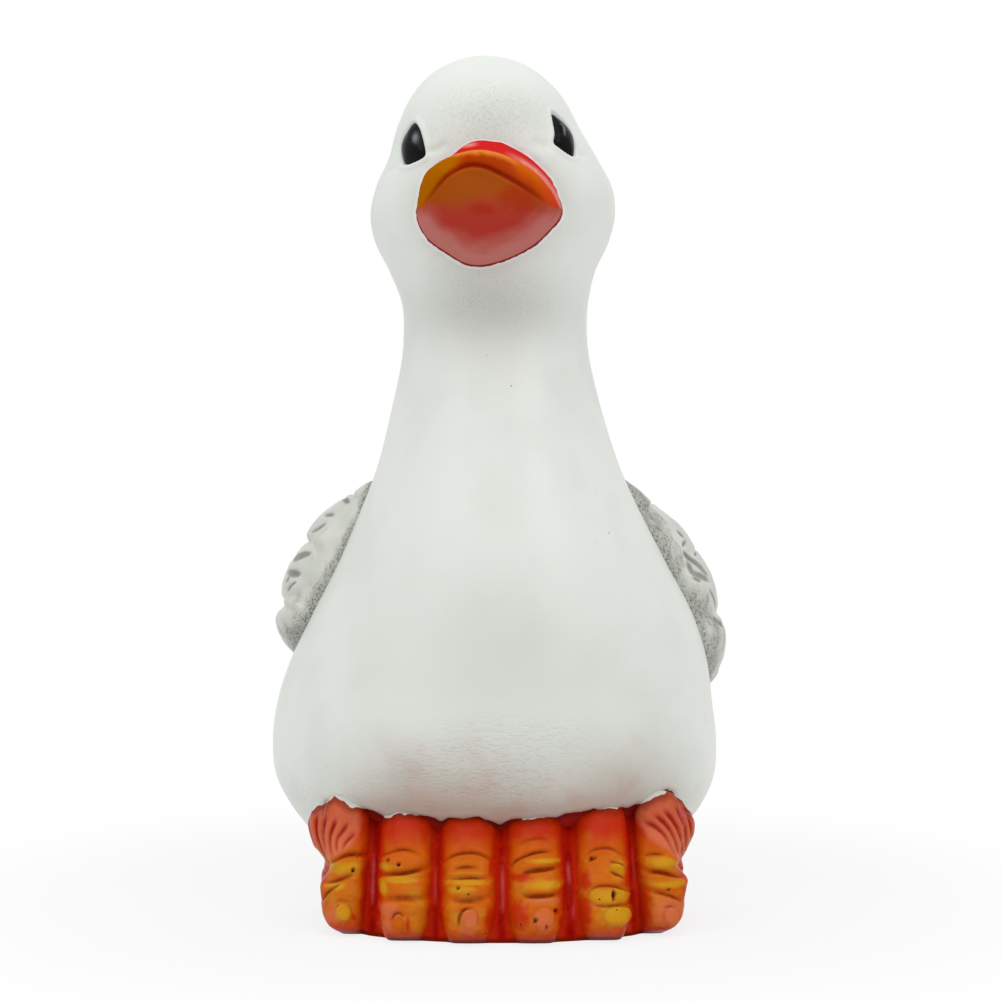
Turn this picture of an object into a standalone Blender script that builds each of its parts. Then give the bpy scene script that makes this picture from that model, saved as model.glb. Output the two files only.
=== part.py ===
"""Resin duck statue: a sitting duck, cast in one piece, with a flat base to stand on.

The duck faces -Y and stands on Z = 0. Sizes are in millimetres until they reach Blender.
The clay forms overlap each other. They are fused into one skin, softened, thinned to few
faces and cut flat underneath, where the open side of the mould leaves the casting.
"""

import math
from typing import NamedTuple

import bmesh
import bpy
import numpy as np
from mathutils import Euler, Matrix, Vector

MM = 0.001

# Overall
BODY_HEIGHT = 133.0  # from the base to the narrowest part of the neck
HEAD_HEIGHT = 66.5  # from there to the crown
BASE_OVERCUT = 4.0  # how far the clay reaches below the base before it is cut flat
SECTION_POWER = 2.15  # 2 is an ellipse, more is squarer

# Fused skin
SKIN_GRAIN = 0.8
SKIN_SOFTENING_STEPS = 6
SKIN_TRIANGLES = 9800


class Station(NamedTuple):
    """One level section. Its rise is a share of the height of the body or of the head."""

    rise: float
    middle: float  # X of its middle
    half_width: float
    front: float  # Y of the breast side
    widest: float  # Y where it is widest
    back: float  # Y of the back


BODY = (
    Station(0.0, -1.0, 37.0, -33.0, 4.0, 43.0),
    Station(0.06, -1.0, 40.5, -37.0, 4.0, 47.5),
    Station(0.12, -1.0, 44.8, -41.5, 4.0, 52.0),
    Station(0.17, -1.0, 49.6, -46.5, 4.0, 54.8),
    Station(0.22, -1.3, 52.6, -52.0, 4.0, 56.0),
    Station(0.27, -1.4, 53.2, -54.0, 4.0, 56.4),
    Station(0.345, -1.4, 52.2, -54.4, 4.0, 55.5),
    Station(0.42, -0.5, 50.0, -52.8, 4.0, 53.0),
    Station(0.49, 0.4, 46.4, -50.4, 3.5, 49.5),
    Station(0.60, 0.4, 39.2, -46.0, 3.0, 42.5),
    Station(0.745, -0.4, 30.2, -39.0, 1.0, 32.0),
    Station(0.89, -1.0, 24.4, -32.0, -1.0, 23.0),
    Station(1.0, -1.2, 21.8, -27.0, -3.0, 17.0),
)
HEAD = (
    Station(0.12, -1.3, 22.0, -26.0, -4.0, 16.0),
    Station(0.24, -1.9, 24.4, -27.0, -4.5, 18.0),
    Station(0.345, -2.0, 27.7, -29.2, -5.0, 20.8),
    Station(0.435, -1.8, 28.8, -31.0, -5.0, 22.6),
    Station(0.53, -1.5, 27.8, -32.2, -5.0, 23.3),
    Station(0.63, -1.8, 24.6, -32.4, -5.0, 23.0),
    Station(0.74, -2.9, 21.5, -30.2, -4.5, 21.2),
    Station(0.86, -3.2, 17.4, -24.2, -3.8, 17.0),
    Station(0.95, -3.4, 11.2, -16.0, -3.0, 10.6),
    Station(1.0, -3.3, 0.0, -2.4, -2.4, -2.4),
)

# Bill: a broad upper half with a lip, and a deeper rounded lower half behind it
BILL_X = -2.6
BILL_HEIGHT = 28.5  # of the corners of the mouth above the neck
BILL_SUNK = 7.0  # of its root behind the face
BILL_PITCH = 17.0  # degrees above level
BILL_TURN = 4.5  # degrees towards -X
BILL_ROLL = 2.5
BILL_BURIED = 12.0
BILL_HALF_WIDTH = 17.4
BILL_LENGTH = 33.0
BILL_SQUARENESS = 2.4  # 2 is an ellipse, more is squarer
UPPER_RISE = 14.5
UPPER_TAPER = 0.52
LOWER_DROP = 14.0
LOWER_TAPER = 0.30
LIP_OVERHANG = 0.9
MOUTH_GAP = 0.8

# Eyes
EYE_RADIUS = 5.0
EYE_PROUD = 1.2
EYE_HEIGHT = 44.8  # above the neck
EYE_BEARING = 43.5  # degrees from straight ahead
EYE_LEAN = 1.0  # the +X eye is this much higher and the other this much lower

# Wings: a smooth leading pad, and three rows of feathers that wrap the back and droop
PAD_THICKNESS = 7.6
PAD_DEPTH = 12.0
PAD_PROUD = 6.4
PAD_OVERRUN = 5.0  # past the shoulder and the wrist
ROW_THICKNESS = 8.6
FEATHERS_IN_ROW = 3
FEATHER_LENGTH = 17.0
FEATHER_HEIGHT = 5.4
FEATHER_THICKNESS = 6.2
ROW_PITCH = 19.0  # degrees that the rows droop towards the back
FEATHER_FAN = 9.0  # degrees between the feathers of a row
WRAP_START = 12.0  # the wings are straight ahead of this Y and bend in behind it
WRAP_RADIUS = 44.0


class Place(NamedTuple):
    """A point beside the torso: its Y and its height."""

    y: float
    height: float


class FeatherRow(NamedTuple):
    """One row of a wing."""

    middle: Place
    proud: float  # how far its face stands out from the torso
    half_length: float
    half_height: float


class Wing(NamedTuple):
    """What differs between the two wings, which are sculpted by eye."""

    name: str
    side: int
    shoulder: Place  # upper end of the leading pad
    wrist: Place  # lower end of the leading pad
    rows: tuple


WINGS = (
    Wing(
        "right",
        -1,
        Place(5.0, 94.2),
        Place(11.0, 61.5),
        (
            FeatherRow(Place(17.0, 84.0), 9.2, 17.0, 10.4),
            FeatherRow(Place(19.5, 71.4), 10.2, 22.0, 10.8),
            FeatherRow(Place(22.0, 60.4), 7.3, 25.0, 8.6),
        ),
    ),
    Wing(
        "left",
        1,
        Place(5.0, 94.6),
        Place(12.0, 57.0),
        (
            FeatherRow(Place(17.0, 81.6), 8.4, 17.0, 10.6),
            FeatherRow(Place(19.5, 69.0), 8.2, 22.0, 11.8),
            FeatherRow(Place(22.0, 55.8), 6.2, 25.0, 11.4),
        ),
    ),
)

# Tail
TAIL_X = -1.0
TAIL_HEIGHT = 31.0
TAIL_SUNK = 5.0  # of the middle of its feathers behind the surface of the back
TAIL_HALF_LENGTH = 17.6
TAIL_HALF_WIDTH = 8.0
TAIL_HALF_THICKNESS = 5.5
TAIL_RISE = 32.0  # degrees above level
TAIL_FEATHERS = 3
TAIL_FAN = 22.0  # degrees between feathers


class Foot(NamedTuple):
    """The X of a foot's middle toe, and from toe to toe."""

    middle: float
    pitch: float


# Feet: three toes a foot that slope down from the belly, webs between, and an ankle at each side
FEET = (Foot(-21.1, 14.0), Foot(22.0, 14.3))
TOES_ON_FOOT = 3
TOE_HALF_WIDTH = 5.7
TOE_HALF_DEPTH = 6.6
TOE_SQUARENESS = 2.9  # of its section: 2 is round, more is squarer
TOE_TOP = 24.6
TOE_TIP_HEIGHT = 4.6
TOE_ARC_Y = -30.0  # the toe tips lie on an ellipse about this Y
TOE_ARC_MARGIN = 8.7  # the ellipse is this much wider than the middles of the outer toes
TOE_ARC_DEPTH = 28.0
TOE_TOP_DEPTH = 12.5  # the same ellipse where the toes leave the belly
TOE_TOP_SPREAD = 0.97  # share of their spread that the toes have there
TOE_OVERRUN = 5.1  # past its top and its tip
TOE_BLUNTNESS = 0.6  # 0 has the ends of a ball, more is fuller
KNUCKLES = 3
KNUCKLE_SWELL = 0.05
CLAW_RADIUS = 2.3
CLAW_HEIGHT = 8.5
CLAW_PROUD = 0.2
WEB_INSET = 3.0  # of its sides from the ellipse
WEB_RISE = 6.0  # above the tops of the toes
WEB_DEPTH = 31.2  # of its front ahead of the middle of the ellipse
WEB_SQUARENESS = 1.6  # of its upright section: less is nearer a cone
WEB_SHOULDER = 4.0  # the same across the feet: more keeps it wide further up
ANKLE_INSET = 9.4  # of its middle from the side of the ellipse
ANKLE_Y = -23.0
ANKLE_HEIGHT = 20.4
ANKLE_SIZE = Vector((9.8, 16.0, 11.2))

PAINT = (0.80, 0.84, 0.79, 1.0)
PAINT_ROUGHNESS = 0.42
SHARP_ANGLE = 50.0


class Torso:
    """The level sections of the body, neck and head as smooth curves over the height."""

    def __init__(self):
        heights = [station.rise * BODY_HEIGHT for station in BODY]
        heights += [BODY_HEIGHT + station.rise * HEAD_HEIGHT for station in HEAD]
        self.heights = np.array(heights)
        self.crown = heights[-1]
        _, self.middles, self.widths, fronts, self.widests, backs = np.array(BODY + HEAD).T
        self.fore = self.widests - fronts
        self.aft = backs - self.widests

    def through(self, values, at):
        """The curve through the stations' values, read at other heights."""
        slopes = np.gradient(values, self.heights)
        low = np.clip(np.searchsorted(self.heights, at) - 1, 0, len(self.heights) - 2)
        gap = self.heights[low + 1] - self.heights[low]
        part = (at - self.heights[low]) / gap
        rest = 1.0 - part
        ends = values[low] * (1.0 + 2.0 * part) * rest**2 + values[low + 1] * (3.0 - 2.0 * part) * part**2
        bends = gap * part * rest * (slopes[low] * rest - slopes[low + 1] * part)
        return ends + bends

    def span(self, values, at):
        """The same for a half width, which closes in a round crown."""
        return np.sqrt(np.maximum(self.through(values**2, at), 0.0))

    def side_x(self, side, height):
        """X of the side of the torso at a height."""
        return float(self.through(self.middles, height) + side * self.span(self.widths, height))

    def surface(self, bearing, height):
        """The point of the torso at a height and a bearing, in degrees from straight ahead, and outward."""
        outward = Vector((math.sin(math.radians(bearing)), -math.cos(math.radians(bearing)), 0.0))
        reach = self.fore if outward.y < 0.0 else self.aft
        wide, deep = self.span(self.widths, height), self.span(reach, height)
        middle, widest = self.through(self.middles, height), self.through(self.widests, height)
        out = 1.0 / math.hypot(outward.x / wide, outward.y / deep)
        return Vector((middle, widest, height)) + outward * out, outward


def clear_scene():
    """Removes the objects that the new file came with."""
    for obj in list(bpy.data.objects):
        bpy.data.objects.remove(obj)


def collection_named(name):
    """A new collection in the scene."""
    made = bpy.data.collections.new(name)
    bpy.context.scene.collection.children.link(made)
    return made


def unit_ball(segments, rings):
    """A bmesh UV sphere of radius 1, with its points as an array."""
    ball = bmesh.new()
    bmesh.ops.create_uvsphere(ball, u_segments=segments, v_segments=rings, radius=1.0)
    return ball, np.array([vertex.co for vertex in ball.verts])


def clay(name, ball, points, collection):
    """Turns a reshaped ball, in millimetres, into an object in metres that the render leaves out."""
    for vertex, point in zip(ball.verts, points):
        vertex.co = Vector(point) * MM
    bmesh.ops.recalc_face_normals(ball, faces=ball.faces)
    mesh = bpy.data.meshes.new(name)
    ball.to_mesh(mesh)
    ball.free()
    obj = bpy.data.objects.new(name, mesh)
    obj.hide_render = True
    obj.display_type = "WIRE"
    collection.objects.link(obj)
    return obj


def signed_power(values, power):
    """Each value to the power, keeping its sign."""
    return np.sign(values) * np.abs(values) ** power


def along_axis(direction, up=Vector((0.0, 0.0, 1.0))):
    """A rotation whose Y runs along the direction and whose Z is as near up as it can be."""
    forward = direction.normalized()
    side = forward.cross(up).normalized()
    return Matrix((side, forward, side.cross(forward))).transposed()


def ellipsoid(name, centre, size, collection, turn=Matrix.Identity(3), segments=28, rings=20):
    """A ball of three half sizes about its centre, turned by a matrix."""
    ball, points = unit_ball(segments, rings)
    placed = (points * np.array(size)) @ np.array(turn).T + np.array(centre)
    return clay(name, ball, placed, collection)


def torso_form(torso, collection):
    """The torso, neck and head: one form through the level sections."""
    ball, points = unit_ball(72, 90)
    rise = 1.0 - np.arccos(np.clip(points[:, 2], -1.0, 1.0)) / math.pi
    underside = 0.05  # share of the rings
    closing = np.clip(rise / underside, 0.0, 1.0)
    climb = np.clip((rise - underside) / (1.0 - underside), 0.0, 1.0)
    climb = 1.1 * climb + 0.65 * climb**2 - 0.75 * climb**3  # closer rings over the crown
    height = climb * (torso.crown + BASE_OVERCUT) - BASE_OVERCUT
    level = np.maximum(height, 0.0)
    round_the = np.arctan2(points[:, 1], points[:, 0])
    across = signed_power(np.cos(round_the), 2.0 / SECTION_POWER)
    along = signed_power(np.sin(round_the), 2.0 / SECTION_POWER)
    reach = np.where(along < 0.0, torso.span(torso.fore, level), torso.span(torso.aft, level))
    x = torso.through(torso.middles, level) + torso.span(torso.widths, level) * closing * across
    y = torso.through(torso.widests, level) + reach * closing * along
    return clay("torso", ball, np.stack([x, y, height], axis=1), collection)


def wrapped(points, side):
    """The points of a wing, bent in round the back of the torso."""
    behind = np.maximum(points[:, 1] - WRAP_START, 0.0)
    bent = points.copy()
    bent[:, 0] -= side * (WRAP_RADIUS - np.sqrt(np.maximum(WRAP_RADIUS**2 - behind**2, 0.0)))
    return bent


def feather(name, side, centre, size, back, collection):
    """A pad of a wing: three half sizes about its centre, its length along back, wrapped round the torso."""
    ball, points = unit_ball(28, 28)
    placed = (points * np.array(size)) @ np.array(along_axis(back)).T + np.array(centre)
    return clay(name, ball, wrapped(placed, side), collection)


def drooping(degrees):
    """The direction that points back and this much down."""
    droop = math.radians(degrees)
    return Vector((0.0, math.cos(droop), -math.sin(droop)))


def beside(torso, side, place, proud, thickness):
    """Middle of a pad of this half thickness whose face stands proud of the torso's side."""
    return Vector((torso.side_x(side, place.height) + side * (proud - thickness), place.y, place.height))


def feather_row(torso, settings, number, row, collection):
    """One row of a wing, with the feathers that fan out at its back."""
    side, name = settings.side, f"{settings.name}_{number}"
    centre = beside(torso, side, row.middle, row.proud, ROW_THICKNESS)
    back = drooping(ROW_PITCH)
    size = (ROW_THICKNESS, row.half_length, row.half_height)
    made = [feather(f"feather_row_{name}", side, centre, size, back, collection)]
    size = (FEATHER_THICKNESS, FEATHER_LENGTH, FEATHER_HEIGHT)
    for place in range(FEATHERS_IN_ROW):
        fan = place - (FEATHERS_IN_ROW - 1) / 2.0
        root = centre + back * (row.half_length - FEATHER_LENGTH / 2.0)
        root.z -= fan * FEATHER_HEIGHT
        trail = drooping(ROW_PITCH + fan * FEATHER_FAN)
        made.append(feather(f"feather_{name}_{place + 1}", side, root, size, trail, collection))
    return made


def wing(torso, settings, collection):
    """The leading pad and the feather rows of one wing."""
    shoulder = beside(torso, settings.side, settings.shoulder, PAD_PROUD, PAD_THICKNESS)
    wrist = beside(torso, settings.side, settings.wrist, PAD_PROUD, PAD_THICKNESS)
    reach = wrist - shoulder
    size = (PAD_THICKNESS, reach.length / 2.0 + PAD_OVERRUN, PAD_DEPTH)
    turn = along_axis(reach, Vector((0.0, 1.0, 0.0)))
    made = [ellipsoid(f"wing_pad_{settings.name}", (shoulder + wrist) / 2.0, size, collection, turn)]
    for number, row in enumerate(settings.rows, 1):
        made += feather_row(torso, settings, number, row, collection)
    return made


def tail(torso, collection):
    """A short fan of feathers that turns up behind."""
    made = []
    surface, _ = torso.surface(180.0, TAIL_HEIGHT)
    root = Vector((TAIL_X, surface.y - TAIL_SUNK, TAIL_HEIGHT))
    size = (TAIL_HALF_WIDTH, TAIL_HALF_LENGTH, TAIL_HALF_THICKNESS)
    rise = math.radians(TAIL_RISE)
    for number in range(TAIL_FEATHERS):
        fan = math.radians(TAIL_FAN) * (number - (TAIL_FEATHERS - 1) / 2.0)
        back = Vector((math.sin(fan), math.cos(fan) * math.cos(rise), math.sin(rise)))
        made.append(ellipsoid(f"tail_feather_{number + 1}", root, size, collection, along_axis(back)))
    return made


def bill_half(torso, name, rise, drop, setback, taper, collection):
    """One half of the bill: blunt seen from above, and this thick above and below the mouth line."""
    ball, points = unit_ball(48, 32)
    power = 2.0 / BILL_SQUARENESS
    level = np.sqrt(np.maximum(1.0 - points[:, 2] ** 2, 1e-9))
    plan = signed_power(level, power)
    length = np.where(points[:, 1] > 0.0, BILL_LENGTH - setback, BILL_BURIED)
    forward = length * plan * signed_power(points[:, 1] / level, power)
    across = (BILL_HALF_WIDTH - setback) * plan * signed_power(points[:, 0] / level, power)
    thin = 1.0 - taper * np.clip(forward / BILL_LENGTH, 0.0, 1.0)
    up = np.where(points[:, 2] > 0.0, rise, drop) * signed_power(points[:, 2], power) * thin
    face, _ = torso.surface(0.0, BODY_HEIGHT + BILL_HEIGHT)
    root = (BILL_X, face.y + BILL_SUNK, face.z)
    angles = (math.radians(BILL_PITCH), math.radians(-BILL_ROLL), math.radians(180.0 - BILL_TURN))
    turn = np.array(Euler(angles).to_matrix())
    placed = np.stack([-across, forward, up], axis=1) @ turn.T + root
    return clay(name, ball, placed, collection)


def bill(torso, collection):
    """Both halves of the bill, with the mouth between them."""
    lip = MOUTH_GAP / 2.0
    upper = bill_half(torso, "bill_upper", UPPER_RISE, lip, 0.0, UPPER_TAPER, collection)
    lower = bill_half(torso, "bill_lower", -lip, LOWER_DROP, LIP_OVERHANG, LOWER_TAPER, collection)
    return [upper, lower]


def eyes(torso, collection):
    """Two round eyes that stand a little proud of the head."""
    made = []
    for side in (-1, 1):
        surface, outward = torso.surface(side * EYE_BEARING, BODY_HEIGHT + EYE_HEIGHT + side * EYE_LEAN)
        centre = surface + outward * (EYE_PROUD - EYE_RADIUS)
        made.append(ellipsoid("eye", centre, (EYE_RADIUS,) * 3, collection))
    return made


def toe_places():
    """X of each toe, from one side to the other."""
    middle = (TOES_ON_FOOT - 1) / 2.0
    return [foot.middle + (toe - middle) * foot.pitch for foot in FEET for toe in range(TOES_ON_FOOT)]


def toe_arc_half_width():
    """Half width of the ellipse that the toe tips lie on."""
    return max(abs(x) for x in toe_places()) + TOE_ARC_MARGIN


def toe(x, collection):
    """A toe with knuckle bands and a blunt claw."""
    bow = math.sqrt(1.0 - (x / toe_arc_half_width()) ** 2)
    top = Vector((x * TOE_TOP_SPREAD, TOE_ARC_Y - TOE_TOP_DEPTH * bow, TOE_TOP))
    tip = Vector((x, TOE_ARC_Y - TOE_ARC_DEPTH * bow, TOE_TIP_HEIGHT))
    reach = tip - top
    ball, points = unit_ball(28, 36)
    level = np.sqrt(np.maximum(1.0 - points[:, 1] ** 2, 1e-9))
    share = ((np.abs(points[:, (0, 2)]) / level[:, None]) ** TOE_SQUARENESS).sum(axis=1)
    share[share == 0.0] = 1.0  # at both ends
    square = share ** (-1.0 / TOE_SQUARENESS) * level**-TOE_BLUNTNESS
    knuckled = 1.0 + KNUCKLE_SWELL * np.cos(points[:, 1] * math.pi * KNUCKLES)
    sized = points * (TOE_HALF_WIDTH, reach.length / 2.0 + TOE_OVERRUN, TOE_HALF_DEPTH)
    sized[:, (0, 2)] *= (square * knuckled)[:, None]
    turn = np.array(along_axis(reach, Vector((0.0, -1.0, 0.0))))
    body = clay("toe", ball, sized @ turn.T + np.array((top + tip) / 2.0), collection)
    ahead = Vector((0.0, -(TOE_HALF_DEPTH + CLAW_PROUD), CLAW_HEIGHT - TOE_TIP_HEIGHT))
    size = (CLAW_RADIUS, CLAW_RADIUS, CLAW_RADIUS)
    claw = ellipsoid("claw", tip + ahead, size, collection, segments=16, rings=12)
    return [body, claw]


def web(collection):
    """The skin between the toes: half an egg that stands on its flat side, with broad shoulders."""
    ball, points = unit_ball(64, 32)
    power = 2.0 / WEB_SQUARENESS
    level = np.sqrt(np.maximum(1.0 - points[:, 2] ** 2, 1e-9))
    rise = np.abs(points[:, 2]) ** power
    points[:, 0] *= np.maximum(1.0 - rise**WEB_SHOULDER, 0.0) ** (1.0 / WEB_SHOULDER) / level
    points[:, 1] *= level ** (power - 1.0)
    sized = points * (toe_arc_half_width() - WEB_INSET, WEB_DEPTH, 1.0)
    sized[:, 2] = np.where(points[:, 2] < 0.0, -BASE_OVERCUT, rise * (TOE_TOP + WEB_RISE))
    return clay("web", ball, sized + (0.0, TOE_ARC_Y, 0.0), collection)


def feet(collection):
    """The toes, the web that joins them and the two ankles."""
    made = [web(collection)]
    for x in toe_places():
        made += toe(x, collection)
    for side in (-1, 1):
        centre = Vector((side * (toe_arc_half_width() - ANKLE_INSET), ANKLE_Y, ANKLE_HEIGHT))
        made.append(ellipsoid("ankle", centre, ANKLE_SIZE, collection))
    return made


def apply_modifiers(obj):
    """Gives the object the mesh that its modifiers make, and removes them."""
    bpy.context.view_layer.update()
    obj.data = bpy.data.meshes.new_from_object(obj.evaluated_get(bpy.context.evaluated_depsgraph_get()))
    obj.modifiers.clear()


def fuse(name, forms, collection):
    """One skin round all the forms, softened where they meet and thinned to few faces."""
    joined = bmesh.new()
    for form in forms:
        joined.from_mesh(form.data)
    mesh = bpy.data.meshes.new(name)
    joined.to_mesh(mesh)
    joined.free()
    statue = bpy.data.objects.new(name, mesh)
    collection.objects.link(statue)
    skin = statue.modifiers.new("skin", "REMESH")
    skin.mode = "VOXEL"
    skin.voxel_size = SKIN_GRAIN * MM
    soften = statue.modifiers.new("soften", "SMOOTH")
    soften.iterations = SKIN_SOFTENING_STEPS
    apply_modifiers(statue)
    thin = statue.modifiers.new("thin", "DECIMATE")
    thin.ratio = SKIN_TRIANGLES / (2.0 * len(statue.data.polygons))
    apply_modifiers(statue)
    return statue


def cut_base(statue):
    """Cuts the casting flat at Z = 0 and centres it over the origin."""
    body = bmesh.new()
    body.from_mesh(statue.data)
    everything = body.verts[:] + body.edges[:] + body.faces[:]
    bmesh.ops.bisect_plane(body, geom=everything, plane_co=(0, 0, 0), plane_no=(0, 0, 1), clear_inner=True)
    rim = [edge for edge in body.edges if edge.is_boundary]
    bmesh.ops.contextual_create(body, geom=rim)
    bmesh.ops.triangulate(body, faces=[face for face in body.faces if len(face.verts) > 3])
    bmesh.ops.recalc_face_normals(body, faces=body.faces)
    points = np.array([vertex.co for vertex in body.verts])
    middle = (points.min(axis=0) + points.max(axis=0)) / 2.0
    bmesh.ops.translate(body, verts=body.verts, vec=(-middle[0], -middle[1], 0.0))
    body.to_mesh(statue.data)
    body.free()


def paint(statue):
    """Shades the skin smooth and gives it the white paint."""
    white = bpy.data.materials.new("white_paint")
    white.use_nodes = True
    shader = white.node_tree.nodes["Principled BSDF"]
    shader.inputs["Base Color"].default_value = PAINT
    shader.inputs["Roughness"].default_value = PAINT_ROUGHNESS
    statue.data.materials.clear()
    statue.data.materials.append(white)
    statue.data.shade_smooth()
    statue.data.set_sharp_from_angle(angle=math.radians(SHARP_ANGLE))


def main():
    """Builds the forms and fuses them into the statue."""
    clear_scene()
    casting = collection_named("resin_duck_statue")
    modelled = collection_named("clay_forms")
    torso = Torso()
    forms = [torso_form(torso, modelled), *feet(modelled), *tail(torso, modelled)]
    for settings in WINGS:
        forms += wing(torso, settings, modelled)
    forms += bill(torso, modelled) + eyes(torso, modelled)
    statue = fuse("duck_statue", forms, casting)
    cut_base(statue)
    paint(statue)


main()
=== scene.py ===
"""Looks of a hand painted resin duck statue, sculpted over its packed casting.

The duck faces -Y and stands on Z = 0. Forms and brush marks are measured in millimetres and
reach Blender in metres. Each sub-assembly is a class that models its piece, carves it and dresses it.
"""

import logging
import math
from dataclasses import dataclass
from enum import Enum
from typing import Any, Sequence

import bmesh
import bpy
import numpy as np
from mathutils import Matrix, Vector


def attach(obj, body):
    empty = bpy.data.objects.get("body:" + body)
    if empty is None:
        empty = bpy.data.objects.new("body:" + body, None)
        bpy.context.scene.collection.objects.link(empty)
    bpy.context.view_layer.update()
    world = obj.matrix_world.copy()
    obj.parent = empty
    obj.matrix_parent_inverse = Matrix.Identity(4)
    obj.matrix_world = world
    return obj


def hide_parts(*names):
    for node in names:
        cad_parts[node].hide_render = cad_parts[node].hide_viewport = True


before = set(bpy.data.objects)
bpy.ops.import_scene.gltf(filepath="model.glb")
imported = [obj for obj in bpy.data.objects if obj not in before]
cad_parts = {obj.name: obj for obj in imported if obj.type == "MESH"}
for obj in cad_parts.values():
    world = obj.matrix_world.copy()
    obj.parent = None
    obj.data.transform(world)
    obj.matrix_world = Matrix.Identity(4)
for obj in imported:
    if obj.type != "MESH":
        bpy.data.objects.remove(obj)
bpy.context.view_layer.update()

log = logging.getLogger("duck")

MM = 0.001
STATUE = "duck_statue"

# The greatest distance that is told, in millimetres
FAR = 30.0

Points = np.ndarray
Outline = tuple[tuple[float, float], ...]


class Slot(Enum):
    """Names of the paints."""

    WHITE = "white_paint"
    GREY = "grey_wash"
    ORANGE = "orange_paint"
    BLACK = "black_gloss"


# Numbers that shape curves


def signed_power(values: Points, power: float) -> Points:
    """Raises the size of each value to a power and keeps its sign.

    Args:
        values: Any numbers.
        power: The exponent.

    Returns:
        The powers, with the signs of the values.
    """
    return np.sign(values) * np.abs(values) ** power


def ease(low: float, high: float, values: Points) -> Points:
    """A smooth step from 0 at low to 1 at high.

    Args:
        low: Where the step starts.
        high: Where it ends; below low, the step falls.
        values: Where to read it.

    Returns:
        Numbers from 0 to 1.
    """
    part = np.clip((values - low) / (high - low), 0.0, 1.0)
    return part * part * (3.0 - 2.0 * part)


def bell(distance: Points, width: float) -> Points:
    """A soft bump of height 1 that has fallen to a third at its width."""
    return np.exp(-((distance / width) ** 2))


def ripple(points: Points, length: float, seed: float) -> Points:
    """Smooth uneven waves through space, for edges that a hand left uneven.

    Args:
        points: One row of X, Y and Z for each place.
        length: Rough distance from wave to wave, in millimetres.
        seed: Shifts the waves, so that two uses differ.

    Returns:
        A number from about -1 to 1 for each place.
    """
    total = np.zeros(len(points))
    turns = ((1.0, 0.7, -0.4), (-0.6, 1.1, 0.5), (0.8, -0.5, 1.2), (1.7, 1.3, 0.9), (-1.9, 0.6, 2.1))
    for number, turn in enumerate(turns):
        phase = points @ np.array(turn) * (2.0 * math.pi / length / 1.4)
        total += np.sin(phase + seed * (1.3 + number)) / (1.0 + 0.5 * number)
    return total / 2.4


def to_path(places: Points, path: Outline, reach: float = 8.0) -> tuple[Points, Points]:
    """Distance from places in a plane to an open path, and how far along it the nearest point lies.

    Args:
        places: One row of two coordinates for each place.
        path: The corners of the path.
        reach: The greatest distance that is told.

    Returns:
        The distances, and the shares of the path's length.
    """
    corners = np.array(path, dtype=float)
    lengths = np.hypot(*(corners[1:] - corners[:-1]).T)
    best = np.full(len(places), reach)
    share = np.zeros(len(places))
    box = np.clip(places, corners.min(axis=0), corners.max(axis=0))
    near = np.flatnonzero(np.abs(places - box).max(axis=1) < reach)
    close, nearest, shares = places[near], best[near], share[near]
    before = 0.0
    for start, end, length in zip(corners[:-1], corners[1:], lengths):
        along = np.clip(((close - start) @ (end - start)) / length**2, 0.0, 1.0)
        gap = np.hypot(*(close - (start + along[:, None] * (end - start))).T)
        nearer = gap < nearest
        nearest = np.where(nearer, gap, nearest)
        shares = np.where(nearer, (before + along * length) / lengths.sum(), shares)
        before += length
    best[near], share[near] = nearest, shares
    return best, share


def rounded(path: Outline, closed: bool, rounds: int = 3) -> Outline:
    """Cuts the corners off a path until it reads as a curve.

    Args:
        path: The corners.
        closed: Whether the last corner joins the first.
        rounds: How often the corners are cut.

    Returns:
        The corners of the smooth path.
    """
    corners = np.array(path, dtype=float)
    for _ in range(rounds):
        after = np.roll(corners, -1, axis=0) if closed else corners[1:]
        before = corners if closed else corners[:-1]
        pairs = np.stack([0.75 * before + 0.25 * after, 0.25 * before + 0.75 * after], axis=1).reshape(-1, 2)
        corners = pairs if closed else np.vstack([corners[:1], pairs, corners[-1:]])
    return tuple(map(tuple, corners))


def inside_loop(places: Points, loop: Outline) -> Points:
    """Signed distance to a closed loop in a plane.

    Args:
        places: One row of two coordinates for each place.
        loop: The corners of the loop.

    Returns:
        The distance, above 0 inside the loop.
    """
    gap, _ = to_path(places, (*loop, loop[0]), FAR)
    corners = np.array(loop)
    following = np.roll(corners, -1, axis=0)
    crossings = np.zeros(len(places), dtype=int)
    for (x0, y0), (x1, y1) in zip(corners, following):
        spans = (y0 > places[:, 1]) != (y1 > places[:, 1])
        reach = x0 + (places[:, 1] - y0) * (x1 - x0) / (y1 - y0 if y1 != y0 else 1.0)
        crossings += spans & (places[:, 0] < reach)
    return np.where(crossings % 2 == 1, gap, -gap)


# Clay: forms that are modelled, fused and carved


def unit_ball(segments: int, rings: int) -> tuple[bmesh.types.BMesh, Points]:
    """A UV sphere of radius 1.

    Args:
        segments: Faces round it; an even number.
        rings: Faces from pole to pole; an even number.

    Returns:
        The sphere, and its points.
    """
    ball = bmesh.new()
    bmesh.ops.create_uvsphere(ball, u_segments=segments // 2, v_segments=rings // 2, radius=1.0)
    bmesh.ops.subdivide_edges(ball, edges=ball.edges, cuts=1, use_grid_fill=True)
    points = np.array([vertex.co for vertex in ball.verts])
    return ball, points / np.linalg.norm(points, axis=1)[:, None]


def shaped(ball: bmesh.types.BMesh, points: Points) -> bmesh.types.BMesh:
    """Moves the sphere's points to their places in millimetres and turns its faces outwards."""
    for vertex, point in zip(ball.verts, points):
        vertex.co = Vector(point)
    bmesh.ops.recalc_face_normals(ball, faces=ball.faces)
    return ball


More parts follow.
